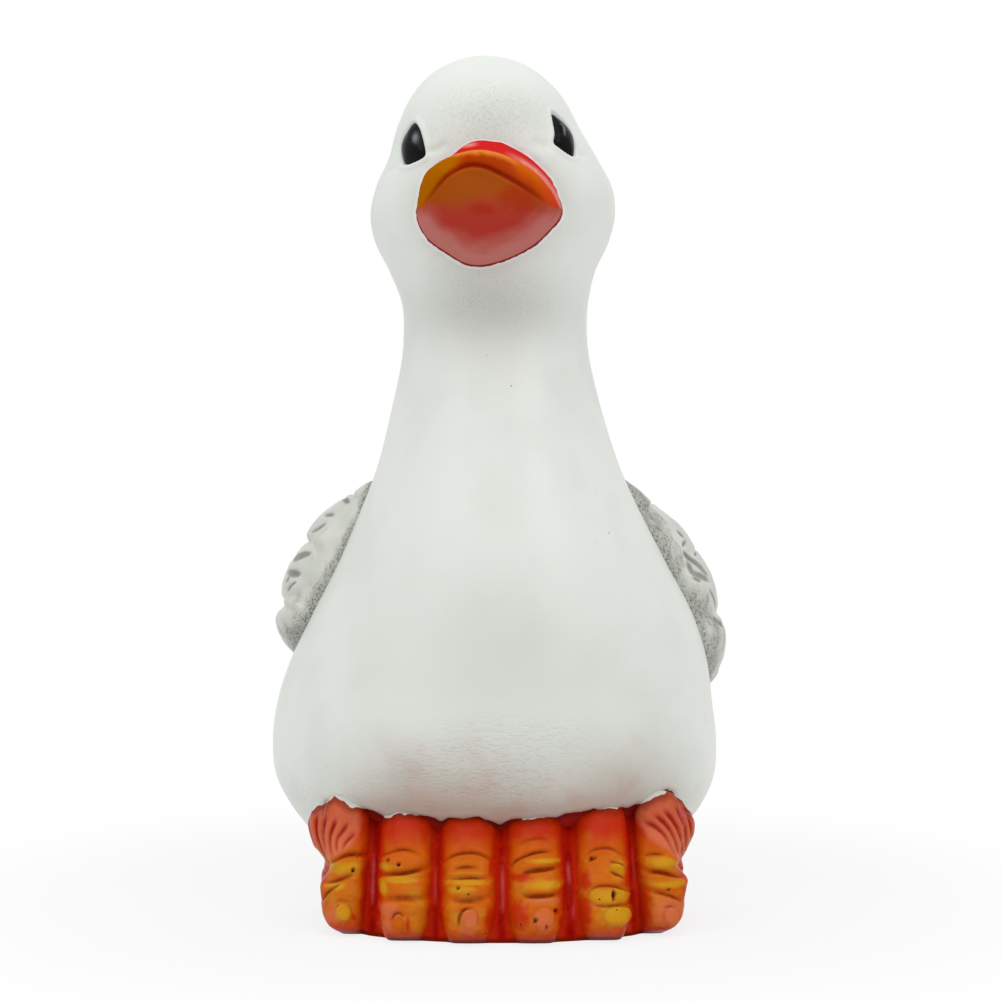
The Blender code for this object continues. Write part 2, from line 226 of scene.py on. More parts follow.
def along_axis(direction: Vector, up: Vector = Vector((0.0, 0.0, 1.0))) -> Points:
    """A rotation whose Y runs along the direction and whose Z is as near up as it can be."""
    forward = direction.normalized()
    side = forward.cross(up).normalized()
    return np.array(Matrix((side, forward, side.cross(forward))).transposed())


def pad(centre: Vector, size: Sequence[float], turn: Points, segments: int = 64, rings: int = 48) -> tuple:
    """A ball of three half sizes about its centre.

    Args:
        centre: Its middle.
        size: Its half sizes.
        turn: Its rotation.
        segments: Faces round it.
        rings: Faces from pole to pole.

    Returns:
        The sphere to reshape, and the points of the pad.
    """
    ball, points = unit_ball(segments, rings)
    return ball, (points * np.array(size)) @ turn.T + np.array(centre)


def joined(forms: Sequence[tuple]) -> bmesh.types.BMesh:
    """One mesh of several spheres and their places; the spheres are freed."""
    whole = bmesh.new()
    for ball, points in forms:
        part = bpy.data.meshes.new("form")
        shaped(ball, points).to_mesh(part)
        ball.free()
        whole.from_mesh(part)
        bpy.data.meshes.remove(part)
    return whole


@dataclass(frozen=True)
class Stroke:
    """A cut of a modelling tool, drawn in the plane that it was seen in; a depth below 0 leaves a ridge."""

    path: Outline
    width: float
    depth: float

    def across(self, places: Points, ends: float = 0.12) -> tuple[Points, Points]:
        """How strongly the stroke shapes places.

        Args:
            places: One row of two coordinates for each place.
            ends: How much of its strength is left at its ends.

        Returns:
            The strength of the cut at each place, and of the lip that it leaves just under it, from 0 to 1.
        """
        path = rounded(self.path, False)
        gap, share = to_path(places, path)
        under = places[:, 1] < np.interp(places[:, 0], *np.array(sorted(path)).T)
        taper = np.sqrt(np.clip(4.0 * share * (1.0 - share), ends, 1.0))
        return bell(gap, self.width) * taper, bell(gap - 2.0 * self.width, 1.1 * self.width) * taper * under


@dataclass(frozen=True)
class Spot:
    """A soft oval seen from the front: its middle, and its half width and half height."""

    x: float
    height: float
    half_width: float
    half_height: float

    def cover(self, points: Points, soft: float = 0.5) -> Points:
        """How much places lie on it, from 0 to 1."""
        x, height = (points[:, 0] - self.x) / self.half_width, (points[:, 2] - self.height) / self.half_height
        return ease(1.0 + soft, 1.0 - soft, np.hypot(x, height))


class Clay:
    """A piece while it is carved: its mesh holds millimetres until it is fired."""

    def __init__(self, name: str, form: bmesh.types.BMesh) -> None:
        """Links the form to the scene as an object.

        Args:
            name: The piece's name.
            form: Its surface; it is freed here.
        """
        mesh = bpy.data.meshes.new(name)
        form.to_mesh(mesh)
        form.free()
        self.piece = bpy.data.objects.new(name, mesh)
        bpy.context.scene.collection.objects.link(self.piece)

    @property
    def mesh(self) -> bpy.types.Mesh:
        """The piece's mesh."""
        return self.piece.data

    @property
    def points(self) -> Points:
        """The places of its vertices."""
        flat = np.empty(len(self.mesh.vertices) * 3, dtype=np.float32)
        self.mesh.vertices.foreach_get("co", flat)
        return flat.reshape(-1, 3).astype(float)

    @property
    def normals(self) -> Points:
        """The outward directions at its vertices."""
        flat = np.empty(len(self.mesh.vertices) * 3, dtype=np.float32)
        self.mesh.vertex_normals.foreach_get("vector", flat)
        return flat.reshape(-1, 3).astype(float)

    def place(self, points: Points) -> None:
        """Moves its vertices."""
        self.mesh.vertices.foreach_set("co", points.astype(np.float32).ravel())
        self.mesh.update()

    def push(self, heights: Points) -> None:
        """Raises the surface along its normals, or sinks it where a height is below 0."""
        self.place(self.points + self.normals * heights[:, None])

    def mark(self, name: str, values: Points) -> None:
        """Keeps a number at each vertex, for the paint to read."""
        layer = self.mesh.attributes.new(name, "FLOAT", "POINT")
        layer.data.foreach_set("value", np.asarray(values, dtype=np.float32))

    def fuse(self, grain: float, softening: int) -> None:
        """Makes one closed skin of the overlapping forms.

        Args:
            grain: Size of its faces.
            softening: How often it is smoothed.
        """
        skin = self.piece.modifiers.new("skin", "REMESH")
        skin.mode = "VOXEL"
        skin.voxel_size = grain
        soften = self.piece.modifiers.new("soften", "SMOOTH")
        soften.iterations = softening
        bpy.context.view_layer.update()
        graph = bpy.context.evaluated_depsgraph_get()
        skinned = bpy.data.meshes.new_from_object(self.piece.evaluated_get(graph))
        skinned.name = self.piece.name
        self.piece.modifiers.clear()
        self.piece.data = skinned

    def trim(self, place: tuple, away: tuple) -> None:
        """Cuts the piece with a plane, drops what lies on its far side and closes the cut.

        Args:
            place: A point of the plane.
            away: The direction of what is dropped.
        """
        form = bmesh.new()
        form.from_mesh(self.mesh)
        everything = form.verts[:] + form.edges[:] + form.faces[:]
        bmesh.ops.bisect_plane(form, geom=everything, plane_co=place, plane_no=away, clear_outer=True)
        rim = [edge for edge in form.edges if edge.is_boundary]
        bmesh.ops.contextual_create(form, geom=rim)
        form.to_mesh(self.mesh)
        form.free()

    def fire(self, paint: bpy.types.Material, slot: Slot) -> bpy.types.Object:
        """Turns millimetres into metres, paints the piece and hands it to the frame.

        Args:
            paint: Its material.
            slot: Not used.

        Returns:
            The finished piece.
        """
        self.mesh.transform(Matrix.Scale(MM, 4))
        self.mesh.shade_smooth()
        self.mesh.materials.clear()
        self.mesh.materials.append(paint)
        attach(self.piece, "root")
        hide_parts(STATUE)
        log.info("%s: %d faces, %s", self.piece.name, len(self.mesh.polygons), paint.name)
        return self.piece


# Paints


class Wire:
    """A shader socket that does arithmetic: each operator adds a Math node."""

    def __init__(self, nodes: "Graph", socket: bpy.types.NodeSocket) -> None:
        """Wraps an output socket of the graph."""
        self.nodes = nodes
        self.socket = socket

    def _math(self, operation: str, *values: Any) -> "Wire":
        """Adds a Math node on the values."""
        return self.nodes.add("ShaderNodeMath", {"operation": operation}, dict(enumerate(values)))

    def __add__(self, other: Any) -> "Wire":
        """This plus the other."""
        return self._math("ADD", self, other)

    def __radd__(self, other: Any) -> "Wire":
        """The other plus this."""
        return self._math("ADD", other, self)

    def __sub__(self, other: Any) -> "Wire":
        """This minus the other."""
        return self._math("SUBTRACT", self, other)

    def __rsub__(self, other: Any) -> "Wire":
        """The other minus this."""
        return self._math("SUBTRACT", other, self)

    def __mul__(self, other: Any) -> "Wire":
        """This times the other."""
        return self._math("MULTIPLY", self, other)

    def __rmul__(self, other: Any) -> "Wire":
        """The other times this."""
        return self._math("MULTIPLY", other, self)

    def either(self, other: Any) -> "Wire":
        """The greater of the two."""
        return self._math("MAXIMUM", self, other)

    def step(self, low: float, high: float) -> "Wire":
        """A smooth step from 0 at low to 1 at high; low may be the greater."""
        settings = {"interpolation_type": "SMOOTHSTEP"}
        rising = low < high
        ends = {1: low, 2: high, 3: 0.0, 4: 1.0} if rising else {1: high, 2: low, 3: 1.0, 4: 0.0}
        return self.nodes.add("ShaderNodeMapRange", settings, {0: self, **ends})


class Graph:
    """The nodes of a material or of a world."""

    def __init__(self, owner: bpy.types.Material | bpy.types.World) -> None:
        """Starts with no nodes."""
        owner.use_nodes = True
        self.tree = owner.node_tree
        self.tree.nodes.clear()

    def add(self, kind: str, settings: dict, sockets: dict, out: int | str = 0) -> Wire | None:
        """Adds a node.

        Args:
            kind: Its type.
            settings: Its properties, which are set first.
            sockets: Values or wires for its inputs, by name or number.
            out: Which of its outputs is wanted.

        Returns:
            That output, if the node has outputs.
        """
        node = self.tree.nodes.new(kind)
        for name, value in settings.items():
            setattr(node, name, value)
        for name, value in sockets.items():
            if isinstance(value, Wire):
                self.tree.links.new(value.socket, node.inputs[name])
            else:
                node.inputs[name].default_value = value
        return Wire(self, node.outputs[out]) if node.outputs else None

    def ray(self, kind: str) -> Wire:
        """1 for the rays of a kind, such as Is Camera Ray, and 0 for the others."""
        return self.add("ShaderNodeLightPath", {}, {}, kind)


class Nodes(Graph):
    """The nodes of one paint, measured in millimetres on the piece."""

    def __init__(self, name: str) -> None:
        """Starts a material.

        Args:
            name: The material's name.
        """
        self.material = bpy.data.materials.new(name)
        super().__init__(self.material)
        here = self.add("ShaderNodeTexCoord", {}, {}, "Object")
        self.place = self.add("ShaderNodeVectorMath", {"operation": "SCALE"}, {0: here, "Scale": 1.0 / MM})
        self.x, self.z = (self.add("ShaderNodeSeparateXYZ", {}, {0: self.place}, axis) for axis in "XZ")

    def noise(self, size: float, detail: float = 3.0, stretch: tuple = (1.0, 1.0, 1.0)) -> Wire:
        """Clouds of about this size in millimetres, longer along the axes whose stretch is above 1."""
        scale = tuple(1.0 / part for part in stretch)
        place = self.add("ShaderNodeVectorMath", {"operation": "MULTIPLY"}, {0: self.place, 1: scale})
        return self.add("ShaderNodeTexNoise", {}, {"Vector": place, "Scale": 1.0 / size, "Detail": detail})

    def specks(self, spacing: float, radius: float, share: float) -> Wire:
        """Round specks, 1 at their middles.

        Args:
            spacing: Distance from speck to speck.
            radius: Size of the largest.
            share: How many of the places hold a speck.

        Returns:
            The mask of the specks.
        """
        sockets = {"Vector": self.place, "Scale": 1.0 / spacing}
        gap = self.add("ShaderNodeTexVoronoi", {}, sockets, "Distance") * spacing
        chance = self.add("ShaderNodeTexVoronoi", {}, sockets, "Color")
        red = self.add("ShaderNodeSeparateColor", {}, {0: chance}, 0)
        return gap.step(radius, 0.5 * radius) * red.step(share, share - 0.02)

    def mark(self, name: str) -> Wire:
        """A number that the modelling left at each vertex."""
        return self.add("ShaderNodeAttribute", {"attribute_name": name}, {}, "Fac")

    def blend(self, factor: Any, under: Any, over: Any) -> Wire:
        """Lays one colour over another.

        Args:
            factor: How much of the upper colour shows.
            under: The lower colour.
            over: The upper colour.

        Returns:
            The blended colour.
        """
        return self.add("ShaderNodeMix", {"data_type": "RGBA"}, {0: factor, 6: under, 7: over}, 2)

    def bump(self, height: Wire, depth: float) -> Wire:
        """Turns a height from 0 to 1 into a relief of this depth in millimetres."""
        return self.add("ShaderNodeBump", {}, {"Height": height, "Distance": depth * MM, "Strength": 1.0})

    def finish(self, colour: Wire, roughness: Wire, relief: Wire, **constants: float) -> bpy.types.Material:
        """Feeds the shader.

        Args:
            colour: Base colour.
            roughness: Roughness.
            relief: The bumped normal.
            constants: Values of other sockets, with _ for a space in their names.

        Returns:
            The finished material.
        """
        fed = {"Base Color": colour, "Roughness": roughness, "Normal": relief}
        fed.update({name.replace("_", " "): value for name, value in constants.items()})
        shader = self.add("ShaderNodeBsdfPrincipled", {}, fed)
        self.add("ShaderNodeOutputMaterial", {}, {"Surface": shader})
        return self.material


def shade(red: int, green: int, blue: int) -> tuple[float, float, float, float]:
    """A colour given as it looks, from 0 to 255, as the shader's own numbers.

    Args:
        red: Red.
        green: Green.
        blue: Blue.

    Returns:
        The linear colour, with an alpha of 1.
    """
    parts = [channel / 255.0 for channel in (red, green, blue)]
    linear = [part / 12.92 if part <= 0.04045 else ((part + 0.055) / 1.055) ** 2.4 for part in parts]
    return (*linear, 1.0)


@dataclass(frozen=True)
class WhitePaint:
    """Satin white with a breath of green, brushed thin and grey under the belly, red below its edge; shade is
    painted in under the chin, on the forehead, down the belly and just under the edge.
    """

    white: tuple = shade(232, 236, 230)
    cloud: tuple = shade(224, 230, 223)
    shadow: tuple = shade(196, 202, 194)
    thin: tuple = shade(186, 175, 163)
    warm: tuple = shade(196, 172, 160)
    bright: tuple = shade(243, 247, 244)
    stipple: tuple = shade(168, 162, 150)
    speck: tuple = shade(150, 148, 140)
    lilac: tuple = shade(222, 202, 210)
    red: tuple = shade(168, 30, 16)
    maroon: tuple = shade(120, 14, 12)
    roughness: float = 0.42

    def mix(self) -> bpy.types.Material:
        """Mixes the paint."""
        nodes = Nodes("white_paint")
        colour = nodes.blend(nodes.noise(22.0).step(0.42, 0.72), self.white, self.cloud)
        grain = nodes.noise(0.42, 2.0)
        brushed = nodes.noise(0.9, 3.0, (2.2, 2.2, 0.9))
        wear = nodes.mark("wear")
        patchy = nodes.noise(9.0, 2.0)
        # painted shade under the chin, on the forehead and down the middle of the belly
        colour = nodes.blend(nodes.mark("shadow") * 0.8, colour, self.shadow)
        colour = nodes.blend(wear * (0.8 + 0.2 * patchy), colour, self.thin)
        colour = nodes.blend(wear * patchy.step(0.48, 0.66) * 0.6, colour, self.warm)
        scratched = nodes.mark("scratched")
        scratch = (nodes.noise(1.5, 4.0, (1.8, 1.8, 0.7)) - 0.5) * 9.0
        ridge = (1.0 - scratch * scratch).either(0.0) * scratched
        stippled = nodes.mark("stipple")
        colour = nodes.blend(stippled * grain.step(0.46, 0.7) * 0.5, colour, self.stipple)
        colour = nodes.blend(scratched * brushed.step(0.5, 0.8) * 0.12, colour, self.stipple)
        specks = nodes.specks(7.5, 0.3, 0.45).either(nodes.specks(3.1, 0.17, 0.12))
        colour = nodes.blend(specks * 0.7, colour, self.speck)
        edge = nodes.mark("above_edge") + (nodes.noise(1.1) - 0.5) * 0.5
        # painted shade: the red turns maroon just under the white edge, where the belly overhangs the feet
        under = nodes.blend(edge.step(-2.4, -0.5), self.red, self.maroon)
        colour = nodes.blend(edge.step(0.0, -0.12), colour, under)
        lip = nodes.mark("bill_gap")
        colour = nodes.blend(lip.step(1.0, 0.5) * 0.9, colour, self.bright)
        smear = nodes.mark("smear") * nodes.noise(1.6, 3.0, (2.0, 2.0, 1.0)).step(0.38, 0.6)
        colour = nodes.blend(smear * 0.7, colour, self.lilac)
        spill = (lip + (nodes.noise(1.7, 4.0) - 0.5) * 0.7).step(0.24, 0.12)
        colour = nodes.blend(spill, colour, self.maroon)
        height = grain * (0.15 + 0.7 * stippled.either(wear)) + ridge * 0.9 - specks * 1.4
        roughness = self.roughness + 0.12 * nodes.noise(3.0) + 0.1 * wear - 0.06
        return nodes.finish(colour, roughness, nodes.bump(height, 0.09))


@dataclass(frozen=True)
class GreyWash:
    """Warm pale grey over the wings, stippled dark where they leave the body."""

    pale: tuple = shade(206, 209, 200)
    light: tuple = shade(220, 222, 213)
    dark: tuple = shade(128, 128, 119)
    groove: tuple = shade(86, 86, 78)
    roughness: float = 0.5

    def mix(self) -> bpy.types.Material:
        """Mixes the wash."""
        nodes = Nodes("grey_wash")
        colour = nodes.blend(nodes.noise(7.0).step(0.35, 0.7), self.pale, self.light)
        near = nodes.mark("near_body")
        dots = nodes.noise(0.55, 5.0)
        drift = nodes.noise(4.0, 5.0, (1.0, 1.0, 2.2))
        squiggle = nodes.noise(1.5, 3.0, (1.0, 1.0, 2.0))
        cover = (near * 1.3 + (drift - 0.5) * 2.2 - 0.2).step(0.0, 1.0)
        colour = nodes.blend(cover * 0.5, colour, self.dark)
        colour = nodes.blend(cover * dots.step(0.5, 0.62) * 0.75, colour, self.groove)
        line = squiggle.step(0.46, 0.5) * squiggle.step(0.54, 0.5)
        colour = nodes.blend(line * cover * 0.4, colour, self.groove)
        cut = nodes.mark("cut")
        colour = nodes.blend(cut * (0.35 + 0.6 * drift), colour, self.groove)
        specks = nodes.specks(2.6, 0.2, 0.25)
        colour = nodes.blend(specks * 0.6, colour, self.dark)
        relief = nodes.bump(dots * (0.15 + cover) - specks, 0.06)
        return nodes.finish(colour, self.roughness + 0.15 * drift, relief)


@dataclass(frozen=True)
class BillPaint:
    """Red brushed over orange and ochre, wet on the bill, with painted highlights on the lip and the top and
    a painted haze along the lower rim.
    """

    ochre: tuple = shade(176, 98, 0)
    # colour of a painted highlight along the top of the lip band
    glow: tuple = shade(224, 132, 56)
    rust: tuple = shade(176, 58, 0)
    orange: tuple = shade(206, 92, 12)
    red: tuple = shade(210, 38, 38)
    brown: tuple = shade(166, 76, 12)
    rose: tuple = shade(180, 56, 44)
    blood: tuple = shade(172, 40, 10)
    pink: tuple = shade(198, 124, 116)
    # colour of the painted highlights on top of the bill
    pale: tuple = shade(234, 150, 138)
    dark: tuple = shade(144, 24, 2)
    rim: tuple = shade(150, 16, 18)
    roughness: float = 0.3

    def mix(self) -> bpy.types.Material:
        """Mixes the paint."""
        nodes = Nodes("bill_paint")
        drift = nodes.noise(6.0, 3.0)
        fine = nodes.noise(2.2, 3.0)
        wander = (drift - 0.5) * 7.0
        over_mouth = nodes.mark("over_mouth")
        over_lip = nodes.mark("over_lip")
        edge = nodes.mark("edge")
        lower = nodes.blend((nodes.z + wander).step(158.5, 163.5), self.rose, self.brown)
        patch = (nodes.mark("centre") + (fine - 0.5) * 0.9).step(0.1, 1.1)
        lower = nodes.blend(patch * 0.75, lower, self.blood)
        # pink along the lower rim of the bill: partly pink paint, partly a painted reflection haze where the
        # rim turns away
        pink_and_painted_haze = (edge + wander * 0.5).step(6.2, 0.8) * (nodes.z + wander * 0.4).step(163.0, 158.0)
        lower = nodes.blend(pink_and_painted_haze * 0.9, lower, self.pink)
        lip = nodes.blend((nodes.x + wander * 0.7).step(-12.0, -7.0), self.ochre, self.rust)
        # painted highlight: lighter orange along the top of the lip band, except at its left end
        upper = (over_lip + (fine - 0.5) * 1.2).step(-1.9, -0.5)
        lip = nodes.blend(upper * nodes.x.step(-14.0, -9.0), lip, self.glow)
        upper = (over_lip + (fine - 0.5) * 1.5).step(-4.5, -1.0)
        lip = nodes.blend((nodes.x + wander * 0.6).step(1.0, 5.0) * upper * 0.9, lip, self.orange)
        lip = nodes.blend((nodes.x + wander * 0.4).step(7.0, 13.0) * 0.75, lip, self.red)
        colour = nodes.blend((over_mouth + (fine - 0.5) * 0.5).step(-0.3, 0.3), lower, lip)
        colour = nodes.blend(nodes.mark("cut").step(0.1, 1.0) * 0.9, colour, self.dark)
        # painted highlight: pale pink just above the lip's upper edge on the right, and a small spot on top
        top = nodes.blend(nodes.mark("painted_sheen") * (0.3 + fine), self.red, self.pale)
        colour = nodes.blend((over_lip + (fine - 0.5) * 0.5).step(-0.25, 0.3), colour, top)
        rim = (edge + (fine - 0.5) * 0.3).step(0.4, 0.1) * nodes.mark("root")
        colour = nodes.blend(rim, colour, self.rim)
        relief = nodes.bump(fine * 0.4 + nodes.noise(0.6) * 0.15, 0.05)
        wet = {"Specular_IOR_Level": 0.0, "Coat_Weight": edge.step(4.0, 9.0) * 0.12, "Coat_Roughness": 0.2}
        return nodes.finish(colour, self.roughness - 0.06 + 0.16 * fine, relief, **wet)


@dataclass(frozen=True)
class FootPaint:
    """Ochre toes that darken through orange into deep red gloss, with painted highlights down the valleys and
    painted shade under the white edge and along the base.
    """

    deep: tuple = shade(150, 8, 0)
    red: tuple = shade(190, 32, 8)
    flame: tuple = shade(192, 60, 6)
    orange: tuple = shade(204, 96, 10)
    ochre: tuple = shade(200, 130, 30)
    yellow: tuple = shade(206, 152, 26)
    salmon: tuple = shade(214, 110, 72)
    line: tuple = shade(118, 24, 2)
    # colour of the painted highlights in the valleys
    painted_sheen: tuple = shade(214, 92, 96)
    pit: tuple = shade(44, 10, 4)
    # a dull white: partly the thin white low on the belly, partly painted shade on the white tucked under the
    # belly's edge
    white: tuple = shade(214, 211, 204)
    roughness: float = 0.26

    def mix(self) -> bpy.types.Material:
        """Mixes the paint."""
        nodes = Nodes("foot_paint")
        drift = nodes.noise(5.0, 3.0)
        fine = nodes.noise(1.4, 4.0)
        streaks = nodes.noise(2.4, 4.0, (3.0, 1.0, 0.8))
        ragged = (fine - 0.5) * 0.5 + (drift - 0.5) * 0.6
        colour = nodes.blend((drift + fine * 0.4).step(0.6, 1.05) * 0.8, self.deep, self.red)
        # painted highlights down the valleys between the toes
        colour = nodes.blend(nodes.mark("painted_sheen") * (0.3 + fine) * 0.8, colour, self.painted_sheen)
        across = nodes.mark("toe") + ragged * 0.4
        height = nodes.z + (drift - 0.5) * 6.0
        low = height.step(23.5, 17.5)
        warm = nodes.blend(across.step(0.1, 0.5) * (0.35 + 0.65 * low), self.red, self.flame)
        warm = nodes.blend(across.step(0.2, 0.75) * low, warm, self.orange)
        brushed = (streaks * 0.7 + drift * 0.5).step(0.5, 0.85)
        warm = nodes.blend(brushed * across.step(0.3, 0.9) * height.step(19.0, 15.0), warm, self.ochre)
        warm = nodes.blend((nodes.mark("salmon") + ragged * 1.2).step(0.1, 1.0) * 0.75, warm, self.salmon)
        warm = nodes.blend((nodes.mark("yellow") + ragged * 1.2).step(0.1, 1.0) * 0.85, warm, self.yellow)
        warm = nodes.blend((nodes.mark("stain") + ragged * 1.5).step(0.25, 0.95) * 0.85, warm, self.red)
        warm = nodes.blend((nodes.z + ragged * 4.0).step(4.5, 0.5) * 0.8, warm, self.red)
        warm = nodes.blend(across.step(0.5, 0.05) * 0.9, warm, self.red)
        colour = nodes.blend((nodes.mark("toe") + ragged * 0.2).step(0.0, 0.25), colour, warm)
        rib = (nodes.mark("rib") + ragged * 0.5).step(0.1, 0.9) * (0.65 + 0.35 * height.step(26.0, 19.0))
        skin = nodes.blend(rib, self.deep, self.salmon)
        colour = nodes.blend((nodes.mark("ankle") + ragged * 0.4).step(0.15, 0.85), colour, skin)
        cut = nodes.mark("cut")
        colour = nodes.blend((cut * (0.6 + 0.8 * fine)).step(0.15, 0.9) * 0.85, colour, self.line)
        # painted shade: dark along the very base, where the feet meet the floor
        colour = nodes.blend((nodes.z + ragged).step(1.4, 0.5) * 0.85, colour, self.line)
        specks = nodes.specks(3.6, 0.26, 0.25)
        colour = nodes.blend(specks.either(nodes.mark("pit")), colour, self.pit)
        edge = nodes.mark("above_edge") + (nodes.noise(1.1) - 0.5) * 0.5
        # painted shade: dark red just under the white edge, where the belly overhangs the toes
        colour = nodes.blend(edge.step(-2.2, -0.2) * 0.7, colour, self.line)
        # the white above the edge, dulled partly as painted shade
        colour = nodes.blend(edge.step(-0.12, 0.0), colour, self.white)
        relief = nodes.bump(fine * 0.6 + nodes.noise(0.5) * 0.25 - specks * 2.0, 0.07)
        coat = nodes.mark("toe").step(0.4, 1.0) * 0.12
        wet = {"Specular_IOR_Level": 0.02, "Coat_Weight": coat, "Coat_Roughness": 0.2}
        return nodes.finish(colour, self.roughness - 0.1 + 0.2 * fine, relief, **wet)


@dataclass(frozen=True)
class BlackGloss:
    """Black gloss of the eyes, with a painted glint where a lamp's reflection sits."""

    black: tuple = shade(12, 13, 11)
    rim: tuple = shade(40, 42, 38)
    painted_glint: tuple = shade(142, 152, 156)
    roughness: float = 0.08

    def mix(self) -> bpy.types.Material:
        """Mixes the gloss."""
        nodes = Nodes("black_gloss")
        fine = nodes.noise(0.7, 3.0)
        colour = nodes.blend((nodes.mark("rim") * (0.4 + fine)).step(0.6, 1.0) * 0.4, self.black, self.rim)
        # painted glint: a lamp's reflection painted onto the eye
        colour = nodes.blend(nodes.mark("painted_glint") * (0.2 + fine), colour, self.painted_glint)
        relief = nodes.bump(fine, 0.03)
        return nodes.finish(colour, self.roughness + 0.1 * fine, relief, Specular_IOR_Level=0.08)


# The torso


@dataclass(frozen=True)
class Station:
    """One level section. Its rise is a share of the height of the body or of the head."""

    rise: float
    middle: float
    half_width: float
    front: float
    widest: float
    back: float


BODY_STATIONS = (
    Station(0.0, -1.0, 37.0, -33.0, 4.0, 43.0),
    Station(0.06, -1.0, 40.5, -37.0, 4.0, 47.5),
    Station(0.12, -1.0, 44.8, -41.5, 4.0, 52.0),
    Station(0.17, -1.0, 49.6, -46.5, 4.0, 54.8),
    Station(0.22, -1.3, 52.6, -52.0, 4.0, 56.0),
    Station(0.27, -1.4, 53.2, -54.0, 4.0, 56.4),
    Station(0.345, -1.4, 52.2, -54.4, 4.0, 55.5),
    Station(0.42, -0.5, 50.0, -52.8, 4.0, 53.0),
    Station(0.49, 0.4, 46.4, -50.4, 3.5, 49.5),
    Station(0.60, 0.4, 39.2, -46.0, 3.0, 42.5),
    Station(0.745, -0.4, 30.2, -39.0, 1.0, 32.0),
    Station(0.89, -1.0, 24.4, -32.0, -1.0, 23.0),
    Station(1.0, -1.2, 21.8, -27.0, -3.0, 17.0),
)
HEAD_STATIONS = (
    Station(0.12, -1.3, 22.0, -26.0, -4.0, 16.0),
    Station(0.24, -1.9, 24.4, -27.0, -4.5, 18.0),
    Station(0.345, -2.0, 27.7, -29.2, -5.0, 20.8),
    Station(0.435, -1.8, 28.8, -31.0, -5.0, 22.6),
    Station(0.53, -1.5, 27.8, -32.2, -5.0, 23.3),
    Station(0.63, -1.8, 24.6, -32.4, -5.0, 23.0),
    Station(0.74, -2.9, 21.5, -30.2, -4.5, 21.2),
    Station(0.86, -3.2, 17.4, -24.2, -3.8, 17.0),
    Station(0.95, -3.4, 11.2, -16.0, -3.0, 10.6),
    Station(1.0, -3.3, 0.0, -2.4, -2.4, -2.4),
)


class Sections:
    """The level sections of body, neck and head as smooth curves over the height."""

    body_height: float = 133.0
    head_height: float = 66.5
    squareness: float = 2.15

    def __init__(self) -> None:
        """Reads the stations."""
        heights = [station.rise * self.body_height for station in BODY_STATIONS]
        heights += [self.body_height + station.rise * self.head_height for station in HEAD_STATIONS]
        self.heights = np.array(heights)
        self.crown = heights[-1]
        stations = BODY_STATIONS + HEAD_STATIONS
        self.middles = np.array([station.middle for station in stations])
        self.widths = np.array([station.half_width for station in stations])
        self.widests = np.array([station.widest for station in stations])
        self.fore = self.widests - np.array([station.front for station in stations])
        self.aft = np.array([station.back for station in stations]) - self.widests

    def through(self, values: Points, at: Points) -> Points:
        """The curve through the stations' values, read at other heights."""
        slopes = np.gradient(values, self.heights)
        low = np.clip(np.searchsorted(self.heights, at) - 1, 0, len(self.heights) - 2)
        gap = self.heights[low + 1] - self.heights[low]
        part = (at - self.heights[low]) / gap
        rest = 1.0 - part
        ends = values[low] * (1.0 + 2.0 * part) * rest**2 + values[low + 1] * (3.0 - 2.0 * part) * part**2
        bends = gap * part * rest * (slopes[low] * rest - slopes[low + 1] * part)
        return ends + bends

    def span(self, values: Points, at: Points) -> Points:
        """The same for a half width, which closes in a round crown."""
        return np.sqrt(np.maximum(self.through(values**2, at), 0.0))

    def side_x(self, side: int, height: float) -> float:
        """X of the side of the torso at a height."""
        return float(self.through(self.middles, height) + side * self.span(self.widths, height))

    def surface(self, bearing: float, height: float) -> Vector:
        """The point of the torso at a height and a bearing, in degrees from straight ahead."""
        outward = Vector((math.sin(math.radians(bearing)), -math.cos(math.radians(bearing)), 0.0))
        reach = self.fore if outward.y < 0.0 else self.aft
        wide, deep = self.span(self.widths, height), self.span(reach, height)
        share = abs(outward.x / wide) ** self.squareness + abs(outward.y / deep) ** self.squareness
        middle, widest = self.through(self.middles, height), self.through(self.widests, height)
        return Vector((middle, widest, height)) + outward * share ** (-1.0 / self.squareness)

    def front(self, places: Points) -> Points:
        """Y of the front of the torso at places given by X and height."""
        middle, wide = self.through(self.middles, places[:, 1]), self.span(self.widths, places[:, 1])
        share = 1.0 - np.clip(np.abs((places[:, 0] - middle) / wide), 0.0, 1.0) ** self.squareness
        deep = self.span(self.fore, places[:, 1]) * share ** (1.0 / self.squareness)
        return self.through(self.widests, places[:, 1]) - deep

    def tangents(self, bearing: float, height: float) -> tuple[Vector, Vector, Vector]:
        """Directions on the torso at a bearing and height: level, up along it, and outward."""
        level = self.surface(bearing + 1.0, height) - self.surface(bearing - 1.0, height)
        climb = self.surface(bearing, height + 0.5) - self.surface(bearing, height - 0.5)
        outward = level.cross(climb).normalized()
        level.normalize()
        return level, outward.cross(level), outward

    def clearance(self, points: Points) -> Points:
        """Level distance from places to the torso, above 0 outside it.

        Args:
            points: One row of X, Y and Z for each place.

        Returns:
            The distances in millimetres.
        """
        at = np.clip(points[:, 2], 0.0, self.crown - 0.01)
        away = points[:, :2] - np.stack([self.through(self.middles, at), self.through(self.widests, at)], 1)
        deep = np.where(away[:, 1] < 0.0, self.span(self.fore, at), self.span(self.aft, at))
        power = self.squareness
        wide = self.span(self.widths, at)
        share = np.abs(away[:, 0] / wide) ** power + np.abs(away[:, 1] / deep) ** power
        share = np.maximum(share, 1e-6) ** (1.0 / power)
        return np.hypot(*away.T) * (1.0 - 1.0 / share)


SECTIONS = Sections()


